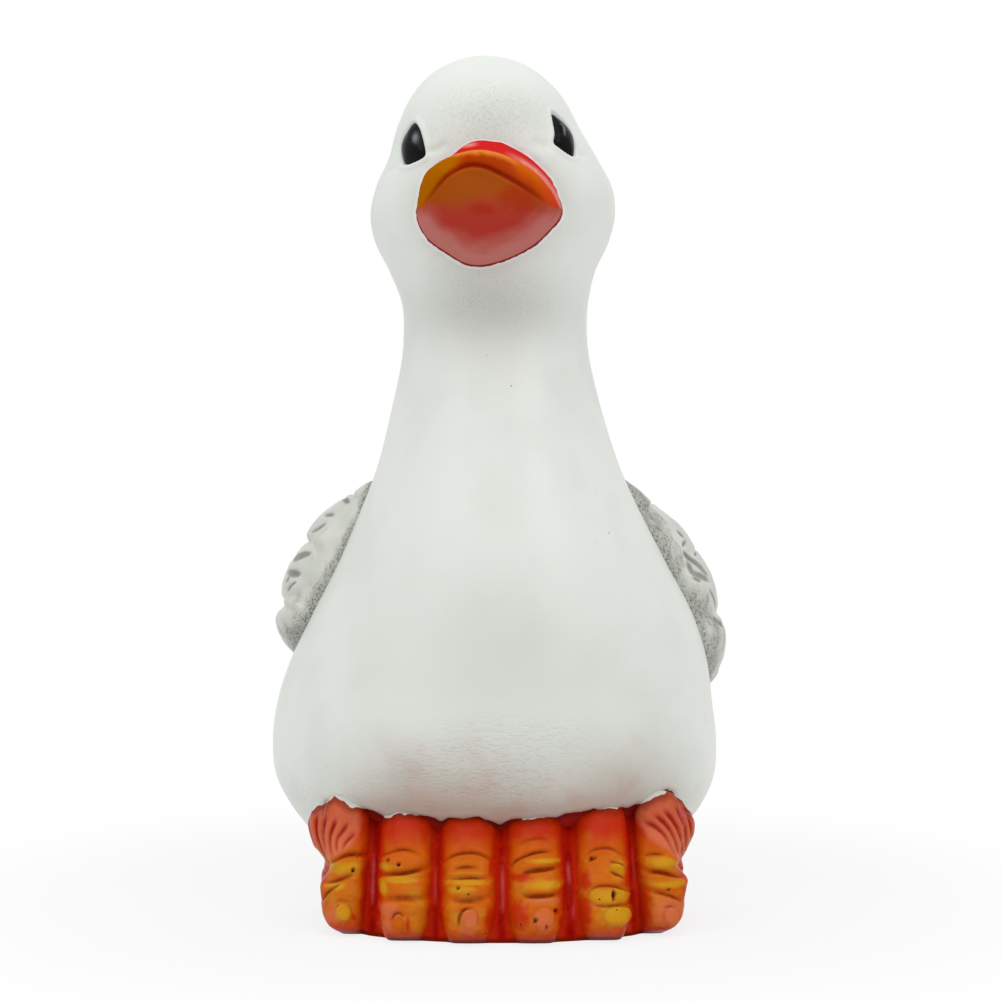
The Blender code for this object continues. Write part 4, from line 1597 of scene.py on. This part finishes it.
TOES = (
    Toe(
        -35.2,
        6.1,
        (
            Stroke(((-38.4, 14.8), (-36.0, 16.9), (-33.8, 17.7), (-31.7, 17.7), (-29.9, 17.0)), 0.5, 1.1),
            Stroke(((-39.6, 11.2), (-37.1, 12.0), (-35.2, 12.6), (-32.2, 13.7)), 0.55, 0.6),
            Stroke(((-39.8, 7.1), (-39.0, 8.7), (-37.3, 10.3), (-35.2, 11.5)), 0.45, 0.6),
            Stroke(((-36.9, 7.2), (-35.6, 8.0), (-33.9, 7.9), (-32.8, 7.0)), 0.3, 0.3),
        ),
        (Spot(-34.8, 15.2, 4.6, 1.4), Spot(-34.6, 9.6, 4.6, 2.0)),
        Spot(-34.7, 5.4, 1.8, 1.9),
        (Spot(-35.2, 14.6, 4.0, 1.3), Spot(-34.7, 5.4, 1.7, 1.7), Spot(-36.6, 10.9, 2.2, 0.8)),
        (Spot(-37.0, 4.4, 2.4, 2.6), Spot(-34.0, 1.2, 4.6, 1.4)),
        (Spot(-30.2, 10.0, 1.1, 9.0), Spot(-32.4, 4.4, 0.6, 1.0)),
        (Spot(-32.7, 14.3, 0.4, 0.4),),
    ),
    Toe(
        -21.0,
        6.4,
        (
            Stroke(((-26.6, 17.4), (-24.8, 18.6), (-22.4, 19.5), (-20.3, 19.4), (-17.6, 18.6)), 0.4, 0.55),
            Stroke(((-26.5, 14.0), (-24.1, 14.6), (-21.7, 14.6), (-19.3, 15.1), (-16.2, 15.5)), 0.5, 1.1),
            Stroke(((-26.0, 9.2), (-21.6, 9.9), (-18.6, 9.6), (-16.1, 9.4)), 0.9, 0.45),
            Stroke(((-24.2, 4.8), (-23.4, 6.2), (-22.2, 6.9), (-21.0, 6.0)), 0.35, 0.5),
        ),
        (Spot(-21.2, 17.1, 5.2, 1.5), Spot(-21.2, 12.4, 5.4, 2.0), Spot(-21.0, 7.8, 5.0, 1.4)),
        Spot(-22.3, 4.6, 1.1, 1.9),
        (Spot(-25.4, 15.6, 1.6, 0.7), Spot(-25.6, 11.6, 1.0, 1.5), Spot(-22.0, 13.1, 3.6, 0.6)),
        (Spot(-24.4, 7.0, 2.2, 1.6), Spot(-25.0, 3.0, 1.6, 2.6), Spot(-20.6, 0.8, 5.6, 1.0)),
        (Spot(-20.2, 4.0, 0.6, 1.8),),
        (Spot(-22.4, 16.3, 0.35, 0.35), Spot(-24.6, 17.0, 0.3, 0.3)),
    ),
    Toe(
        -7.1,
        6.6,
        (
            Stroke(((-12.8, 16.9), (-10.5, 18.7), (-7.2, 19.3), (-4.3, 19.0), (-1.3, 17.1)), 0.4, 0.65),
            Stroke(((-10.5, 15.9), (-7.5, 16.5), (-4.6, 16.2)), 0.45, 0.55),
            Stroke(((-11.3, 14.6), (-7.2, 15.0), (-3.1, 14.8)), 0.3, -0.35),
            Stroke(((-11.6, 13.8), (-7.2, 14.2), (-2.4, 14.0)), 0.35, 0.6),
            Stroke(((-11.3, 9.8), (-7.4, 9.5), (-2.5, 10.2)), 0.8, 0.5),
            Stroke(((-9.2, 4.2), (-9.0, 6.6), (-7.8, 8.0), (-5.8, 8.0)), 0.4, 0.6),
        ),
        (Spot(-7.2, 12.2, 5.4, 1.7), Spot(-7.2, 7.6, 5.4, 1.8), Spot(-6.6, 11.4, 1.5, 0.9)),
        Spot(-6.7, 5.9, 1.7, 1.9),
        (Spot(-7.2, 13.0, 4.4, 0.6), Spot(-8.4, 11.6, 2.6, 0.7)),
        (Spot(-6.7, 5.9, 1.7, 1.9), Spot(-7.0, 3.0, 2.0, 1.6)),
        (Spot(-2.2, 5.0, 1.7, 3.2), Spot(-2.0, 16.0, 0.8, 2.0)),
        (Spot(-9.2, 12.0, 0.3, 0.3),),
    ),
    Toe(
        7.6,
        6.7,
        (
            Stroke(((3.3, 20.6), (7.2, 22.1), (11.3, 21.9)), 0.4, 0.35),
            Stroke(((2.1, 16.1), (3.3, 17.4), (6.0, 18.7), (8.6, 19.4), (11.6, 19.3)), 0.38, 0.8),
            Stroke(((3.9, 14.8), (6.5, 15.6), (9.5, 15.8), (13.0, 16.0)), 0.5, 0.9),
            Stroke(((4.1, 10.9), (6.5, 10.5), (9.4, 10.6), (12.9, 10.7)), 0.5, 0.8),
        ),
        (Spot(8.4, 17.3, 4.6, 1.2), Spot(8.8, 12.6, 4.6, 1.5), Spot(7.4, 7.0, 5.4, 2.4)),
        Spot(9.3, 6.0, 2.2, 2.3),
        (Spot(9.4, 12.5, 3.8, 1.0), Spot(9.6, 17.2, 3.0, 0.5)),
        (Spot(9.6, 9.4, 3.4, 0.7), Spot(9.0, 5.4, 2.0, 2.2)),
        (
            Spot(4.2, 6.6, 2.4, 3.6),
            Spot(4.6, 14.0, 2.6, 1.0),
            Spot(12.0, 7.2, 0.8, 0.9),
            Spot(13.0, 5.0, 0.7, 0.8),
        ),
        (Spot(7.5, 5.6, 0.4, 0.45), Spot(11.9, 7.4, 0.35, 0.35), Spot(9.7, 4.4, 0.25, 0.25)),
    ),
    Toe(
        22.6,
        6.4,
        (
            Stroke(((18.4, 17.8), (20.2, 19.4), (23.2, 19.9), (25.3, 19.3), (27.4, 17.7)), 0.38, 0.5),
            Stroke(((23.8, 17.0), (25.8, 16.7), (27.6, 15.5)), 0.35, 0.6),
            Stroke(((24.0, 15.1), (25.8, 14.3), (27.3, 13.2)), 0.4, 0.7),
            Stroke(((19.0, 10.4), (20.6, 12.0), (23.3, 12.3), (26.0, 11.7), (28.7, 10.1)), 0.35, 0.6),
            Stroke(((24.7, 10.9), (24.7, 8.7)), 0.32, 1.0),
            Stroke(((19.4, 8.6), (22.0, 7.9), (25.6, 8.1), (28.9, 7.8)), 0.4, 0.5),
            Stroke(((19.2, 17.0), (20.2, 17.5), (21.4, 17.9)), 0.35, 0.6),
        ),
        (
            Spot(24.0, 10.0, 4.8, 1.5),
            Spot(24.9, 5.8, 4.2, 2.2),
            Spot(26.2, 16.0, 1.6, 0.7),
            Spot(26.0, 13.0, 1.4, 0.8),
        ),
        Spot(25.4, 5.8, 3.0, 1.9),
        (Spot(23.8, 10.0, 4.8, 1.5), Spot(25.2, 6.0, 3.6, 2.2), Spot(26.0, 15.4, 1.6, 1.8)),
        (Spot(24.0, 1.4, 5.0, 1.7),),
        (Spot(18.6, 6.0, 1.6, 4.6), Spot(18.8, 13.0, 1.4, 2.2)),
        (Spot(24.7, 10.4, 0.35, 0.6), Spot(19.9, 17.6, 0.3, 0.25), Spot(28.0, 6.4, 0.3, 0.6)),
    ),
    Toe(
        36.0,
        6.2,
        (
            Stroke(((31.6, 17.2), (34.0, 17.8), (36.8, 17.4)), 0.35, 0.5),
            Stroke(((32.1, 13.9), (35.2, 14.0), (38.0, 13.3), (40.8, 12.3)), 0.5, 1.0),
            Stroke(((32.9, 9.9), (37.2, 9.2), (40.7, 7.2)), 0.45, 0.6),
            Stroke(((35.6, 6.2), (37.0, 6.7), (38.4, 6.4)), 0.3, 0.35),
        ),
        (Spot(36.4, 15.8, 4.6, 1.2), Spot(36.8, 11.4, 4.4, 1.2), Spot(36.6, 5.0, 3.8, 3.0)),
        Spot(37.4, 4.6, 1.5, 1.7),
        (Spot(36.6, 15.7, 4.4, 1.1), Spot(37.0, 11.1, 4.0, 0.7)),
        (Spot(37.0, 5.4, 3.2, 3.0),),
        (Spot(31.8, 6.4, 2.0, 5.4), Spot(36.0, 1.0, 4.6, 1.2)),
        (Spot(37.2, 10.2, 0.3, 0.3),),
    ),
)


@dataclass(frozen=True)
class Ankle:
    """The ribbed skin over an ankle, drawn from the front: its outline, and the grooves between its ribs."""

    outline: Outline
    grooves: tuple[Outline, ...]


ANKLES = (
    Ankle(
        (
            (-49.0, 28.0), (-37.0, 31.5), (-31.0, 28.5), (-30.6, 22.5), (-33.0, 18.6),
            (-36.4, 16.6), (-40.0, 13.0), (-45.0, 14.0),
        ),
        (
            ((-46.0, 24.0), (-45.2, 21.0), (-43.8, 17.6), (-41.8, 13.6)),
            ((-43.8, 25.6), (-43.8, 22.4), (-42.6, 18.6), (-40.4, 14.4)),
            ((-40.9, 26.6), (-42.0, 23.2), (-41.3, 19.3), (-39.2, 15.0)),
            ((-38.4, 26.6), (-39.9, 23.6), (-39.9, 20.0), (-38.4, 16.0)),
            ((-36.2, 25.8), (-37.6, 23.2), (-38.4, 20.4), (-37.6, 17.0)),
            ((-33.4, 24.8), (-35.0, 22.8), (-36.8, 20.6), (-36.4, 17.6)),
            ((-31.6, 22.4), (-33.2, 21.2), (-34.8, 19.8), (-35.2, 18.0)),
        ),
    ),
    Ankle(
        (
            (49.0, 29.0), (38.0, 32.0), (30.0, 28.0), (29.4, 24.6), (33.0, 20.0), (37.0, 17.8),
            (40.6, 13.6), (45.0, 15.0),
        ),
        (
            ((30.6, 24.2), (34.0, 23.8), (36.8, 21.6), (38.6, 17.6)),
            ((32.8, 26.4), (36.2, 24.8), (38.8, 21.4), (40.0, 16.6)),
            ((35.2, 27.8), (38.2, 25.4), (40.4, 21.6), (41.0, 16.0)),
            ((38.4, 28.4), (40.6, 25.4), (42.0, 21.4), (41.8, 15.6)),
            ((40.8, 27.4), (43.0, 23.8), (43.4, 19.8), (42.6, 15.4)),
            ((43.2, 26.0), (44.8, 22.4), (44.6, 18.6), (43.4, 15.0)),
        ),
    ),
)

# Painted highlights down the valleys between the toes, from the front: X and height of both ends
PAINTED_VALLEY_SHINES = (
    ((-28.3, 17.0), (-28.4, 7.0)),
    ((-14.5, 15.0), (-14.4, 8.0)),
    ((0.5, 15.6), (0.6, 6.6)),
    ((14.8, 16.0), (15.2, 12.0)),
    ((16.6, 9.0), (16.0, 5.0)),
    ((29.6, 18.0), (30.4, 8.0)),
)


@dataclass
class Feet:
    """Two broad feet of three toes with webs between, and a ribbed ankle at each side."""

    toe_depth: float = 6.6
    squareness: float = 2.35
    toe_top: float = 24.6
    tip_height: float = 4.6
    arc_y: float = -30.0
    arc_half_width: float = 45.0
    arc_depth: float = 28.0
    top_depth: float = 12.5
    top_spread: float = 0.985
    overrun: float = 5.1
    bluntness: float = 0.64
    web_inset: float = 3.0
    web_depth: float = 29.6
    web_rise: float = 30.6
    web_squareness: float = 1.6
    web_shoulder: float = 4.0
    ankle: tuple[float, float, float] = (35.6, -23.0, 20.4)
    ankle_size: tuple[float, float, float] = (9.8, 16.0, 11.2)
    overcut: float = 4.0
    instep: tuple[float, float, float] = (37.0, -33.0, 18.5)
    instep_size: tuple[float, float, float] = (7.8, 10.0, 8.6)
    outline_root: float = 29.0
    right_outline: Outline = (
        (24.2, 45.2), (22.3, 45.2), (20.0, 44.2), (17.0, 42.7), (14.5, 40.0), (12.5, 40.2),
        (10.3, 41.0), (4.3, 41.0), (1.6, 40.0), (0.0, 37.2),
    )
    left_outline: Outline = (
        (24.2, 45.6), (22.3, 45.6), (20.0, 44.8), (16.0, 42.4), (14.4, 41.2), (12.5, 41.7),
        (10.9, 41.9), (7.9, 41.3), (3.7, 41.0), (1.6, 40.0), (0.0, 37.6),
    )
    tuck: float = 1.8
    rear_cut: float = -10.0
    grain: float = 0.4
    softening: int = 4

    def ends(self, x: float) -> tuple[Vector, Vector]:
        """Top and tip of the middle line of the toe at this X."""
        bow = math.sqrt(1.0 - (x / self.arc_half_width) ** 2)
        top = Vector((x * self.top_spread, self.arc_y - self.top_depth * bow, self.toe_top))
        return top, Vector((x, self.arc_y - self.arc_depth * bow, self.tip_height))

    def toe(self, toe: Toe) -> tuple:
        """A blunt toe with a squarish section, as a sphere with its places."""
        top, tip = self.ends(toe.x)
        reach = tip - top
        ball, points = unit_ball(64, 72)
        level = np.sqrt(np.maximum(1.0 - points[:, 1] ** 2, 1e-9))
        share = ((np.abs(points[:, (0, 2)]) / level[:, None]) ** self.squareness).sum(axis=1)
        share[share == 0.0] = 1.0
        square = share ** (-1.0 / self.squareness) * level**-self.bluntness
        sized = points * (toe.half_width, reach.length / 2.0 + self.overrun, self.toe_depth)
        sized[:, (0, 2)] *= square[:, None]
        turn = along_axis(reach, Vector((0.0, -1.0, 0.0)))
        return ball, sized @ turn.T + np.array((top + tip) / 2.0)

    def web(self) -> tuple:
        """The skin between the toes, as a sphere with its places."""
        ball, points = unit_ball(96, 64)
        power = 2.0 / self.web_squareness
        level = np.sqrt(np.maximum(1.0 - points[:, 2] ** 2, 1e-9))
        rise = np.abs(points[:, 2]) ** power
        points[:, 0] *= np.maximum(1.0 - rise**self.web_shoulder, 0.0) ** (1.0 / self.web_shoulder) / level
        points[:, 1] *= level ** (power - 1.0)
        sized = points * (self.arc_half_width - self.web_inset, self.web_depth, 1.0)
        sized[:, 2] = np.where(points[:, 2] < 0.0, -self.overcut, rise * self.web_rise)
        return ball, sized + (0.0, self.arc_y, 0.0)

    def forms(self) -> list[tuple]:
        """Web, toes, ankles and insteps."""
        made = [self.web()] + [self.toe(toe) for toe in TOES]
        for (x, y, z), size in ((self.ankle, self.ankle_size), (self.instep, self.instep_size)):
            made += [pad(Vector((side * x, y, z)), size, np.eye(3)) for side in (-1, 1)]
        return made

    def across_toe(self, points: Points, toe: Toe) -> Points:
        """How far across a toe places lie, from -1 to 1 at its sides."""
        top, tip = self.ends(toe.x)
        part = np.clip((top.z - points[:, 2]) / (top.z - tip.z), -0.3, 1.2)
        return (points[:, 0] - (top.x + part * (tip.x - top.x))) / toe.half_width

    def carve_toe(self, toe: Toe, points: Points, front: Points) -> dict[str, Points]:
        """Creases, knuckles and the claw of one toe, and the marks for its paint.

        Args:
            toe: The toe.
            points: The points of the feet.
            front: How much each point faces forward.

        Returns:
            How far each point rises, and each mark.
        """
        flat = points[:, (0, 2)]
        side = np.abs(self.across_toe(points, toe))
        on = ease(1.25, 1.05, side) * front
        rise = np.zeros(len(points))
        cut = np.zeros(len(points))
        for bulge in toe.bulges:
            rise += 0.55 * bulge.cover(points, 0.7)
        for stroke in toe.cuts:
            strength, lip = stroke.across(flat)
            rise += stroke.depth * (0.4 * lip - strength)
            cut = np.maximum(cut, strength * min(1.0, 0.25 + max(stroke.depth, -0.25)))
        claw = toe.claw.cover(points, 0.18)
        ring = toe.claw.cover(points, 0.45) * (1.0 - toe.claw.cover(points, 0.3))
        ring *= ease(-2.4, 0.6, points[:, 2] - toe.claw.height)
        rise += 0.75 * claw - 0.9 * ring
        marks = {"cut": np.maximum(cut, 1.4 * ring)}
        painted = {"yellow": toe.yellow, "salmon": toe.salmon, "stain": toe.stains, "pit": toe.pits}
        for name, spots in painted.items():
            soft = 0.4 if name == "pit" else 0.95
            marks[name] = np.maximum.reduce([spot.cover(points, soft) for spot in spots])
        rise -= 0.7 * marks["pit"]
        marks["toe"] = np.clip((1.1 - side) / 0.8, 0.0, 1.0)
        return {"rise": rise * on} | {name: values * on for name, values in marks.items()}

    def carve_ankles(self, points: Points, normals: Points) -> dict[str, Points]:
        """Ribs that fan out over the ankles.

        Args:
            points: The points of the feet.
            normals: Their outward directions.

        Returns:
            How far each point rises, how much it belongs to an ankle, and how high on a rib it is.
        """
        flat = points[:, (0, 2)]
        cover = np.zeros(len(points))
        groove = np.zeros(len(points))
        for ankle in ANKLES:
            on = ease(-1.0, 2.4, inside_loop(flat, ankle.outline)) * ease(0.0, -0.4, normals[:, 1])
            for path in ankle.grooves:
                gap, share = to_path(flat, rounded(path, False))
                width = 0.4 + 0.35 * (1.0 - share)
                strength = ease(0.0, 0.3, share) * (1.0 - 0.5 * share) * on
                groove = np.maximum(groove, bell(gap, width) * strength)
            cover = np.maximum(cover, on)
        rise = 0.15 * cover - 0.7 * groove
        return {"rise": rise, "ankle": cover, "rib": 1.0 - groove}

    def outlined(self, points: Points) -> Points:
        """Draws the outer side of both feet to the outline seen from the front."""
        moved = points.copy()
        stay = np.full(len(LEVELS), self.outline_root)
        for side, outline in ((-1, self.right_outline), (1, self.left_outline)):
            on = side * points[:, 0] > 0.0
            wanted = along_levels(outline, np.full(len(LEVELS), np.nan))
            moved[on, 0] = side * to_outline(side * points[on, 0], points[on, 2], stay, wanted)
        return moved

    def build(self) -> Clay:
        """The fused and carved feet."""
        clay = Clay("feet", joined(self.forms()))
        clay.fuse(self.grain, self.softening)
        clay.place(self.outlined(clay.points))
        points = clay.points
        front = ease(0.15, -0.3, clay.normals[:, 1]) * ease(-30.0, -36.0, points[:, 1])
        ankles = self.carve_ankles(points, clay.normals)
        names = ("rise", "cut", "yellow", "salmon", "stain", "pit", "toe")
        marks = {name: np.zeros(len(points)) for name in names}
        for toe in TOES:
            for name, values in self.carve_toe(toe, points, front).items():
                marks[name] += values if name == "toe" else values * (1.0 - ankles["ankle"])
        # painted highlights down the valleys between the toes
        painted_shine = np.zeros(len(points))
        for path in PAINTED_VALLEY_SHINES:
            strength, _ = Stroke(path, 0.4, 0.0).across(points[:, (0, 2)])
            painted_shine = np.maximum(painted_shine, strength * ease(-40.0, -46.0, points[:, 1]))
        above = above_edge(points)
        clay.push(marks.pop("rise") + ankles.pop("rise"))
        inward = points[:, :2] - (0.0, 4.0)
        inward /= -np.hypot(*inward.T)[:, None]
        tucked = clay.points
        tucked[:, :2] += inward * np.clip(above, 0.0, 8.0)[:, None] * self.tuck
        clay.place(tucked)
        for name, values in (marks | ankles).items():
            clay.mark(name, np.clip(values, 0.0, 1.0))
        clay.mark("painted_sheen", painted_shine)
        clay.mark("above_edge", above)
        clay.trim((0.0, 0.0, 0.0), (0.0, 0.0, -1.0))
        clay.trim((0.0, self.rear_cut, 0.0), (0.0, 1.0, 0.0))
        return clay


# The studio


@dataclass(frozen=True)
class Lamp:
    """A soft square light that looks at the duck."""

    name: str
    place: tuple[float, float, float]
    size: float
    power: float
    target: tuple[float, float, float] = (0.0, 0.0, 0.1)

    def hang(self) -> None:
        """Adds the lamp to the scene."""
        data = bpy.data.lights.new(self.name, "AREA")
        data.size = self.size
        data.energy = self.power
        lamp = bpy.data.objects.new(self.name, data)
        lamp.location = self.place
        lamp.rotation_euler = (Vector(self.target) - Vector(self.place)).to_track_quat("-Z", "Y").to_euler()
        bpy.context.scene.collection.objects.link(lamp)


@dataclass
class Studio:
    """White floor, white surroundings, soft lamps and the camera of the photograph."""

    camera_place: tuple[float, float, float] = (0.0, -0.650, 0.1207)
    camera_pitch: float = 87.68
    lens: float = 97.93
    surround: float = 0.74
    reflected: float = 0.5
    floor_size: float = 3.0
    floor_glow: float = 0.8
    shadow_reach: tuple[float, float] = (80.0, 170.0)
    lamps: tuple[Lamp, ...] = (
        Lamp("top_light", (-0.1, -0.35, 1.2), 0.9, 2.4),
        Lamp("left_light", (-0.7, -0.6, 0.9), 0.5, 1.3),
        Lamp("right_light", (0.7, -0.7, 0.9), 0.5, 1.9),
    )

    def floor(self) -> None:
        """The pale floor: white to the camera, with the duck's soft shadow."""
        form = bmesh.new()
        bmesh.ops.create_grid(form, x_segments=4, y_segments=4, size=self.floor_size)
        mesh = bpy.data.meshes.new("floor")
        form.to_mesh(mesh)
        form.free()
        floor = bpy.data.objects.new("floor", mesh)
        bpy.context.scene.collection.objects.link(floor)
        graph = Nodes("floor_white")
        away = graph.add("ShaderNodeVectorMath", {"operation": "LENGTH"}, {0: graph.place}, "Value")
        seen = graph.ray("Is Camera Ray").either(graph.ray("Is Glossy Ray"))
        seen = seen.either(graph.ray("Is Transmission Ray"))
        matt = graph.add("ShaderNodeBsdfDiffuse", {}, {"Color": (0.8, 0.8, 0.8, 1.0)})
        glow = graph.add("ShaderNodeEmission", {}, {"Color": (1.0, 1.0, 1.0, 1.0)})
        share = seen * (self.floor_glow + (1.0 - self.floor_glow) * away.step(*self.shadow_reach))
        mix = graph.add("ShaderNodeMixShader", {}, {0: share, 1: matt, 2: glow})
        graph.add("ShaderNodeOutputMaterial", {}, {"Surface": mix})
        mesh.materials.append(graph.material)

    def world(self) -> None:
        """White to the camera, a little dimmer in reflections, and dimmest as a light."""
        world = bpy.data.worlds.new("studio")
        bpy.context.scene.world = world
        graph = Graph(world)
        seen = graph.ray("Is Camera Ray").either(graph.ray("Is Transmission Ray"))
        share = seen.either(graph.ray("Is Glossy Ray") * self.reflected)
        strength = self.surround + share * (1.0 - self.surround)
        white = {"Color": (1.0, 1.0, 1.0, 1.0), "Strength": strength}
        graph.add("ShaderNodeOutputWorld", {}, {"Surface": graph.add("ShaderNodeBackground", {}, white)})

    def camera(self) -> None:
        """The camera of the photograph."""
        data = bpy.data.cameras.new("camera")
        data.lens = self.lens
        data.sensor_width = 36.0
        camera = bpy.data.objects.new("camera", data)
        camera.location = self.camera_place
        camera.rotation_euler = (math.radians(self.camera_pitch), 0.0, 0.0)
        bpy.context.scene.collection.objects.link(camera)
        bpy.context.scene.camera = camera

    def build(self) -> None:
        """Sets the whole studio up."""
        self.camera()
        self.floor()
        self.world()
        for lamp in self.lamps:
            lamp.hang()
        bpy.context.scene.view_settings.view_transform = "Standard"


def main() -> None:
    """Models, carves and paints each piece, and sets up the studio."""
    logging.basicConfig(level=logging.INFO, format="%(name)s: %(message)s")
    Studio().build()
    white, gloss, wash = WhitePaint().mix(), BlackGloss().mix(), GreyWash().mix()
    Body().build().fire(white, Slot.WHITE)
    Tail().build().fire(white, Slot.WHITE)
    Bill().build().fire(BillPaint().mix(), Slot.ORANGE)
    Feet().build().fire(FootPaint().mix(), Slot.ORANGE)
    for eye in EYES:
        EyeBead(eye).build().fire(gloss, Slot.BLACK)
    for wing in (RIGHT_WING, LEFT_WING):
        wing.build().fire(wash, Slot.GREY)


if __name__ == "__main__":
    main()
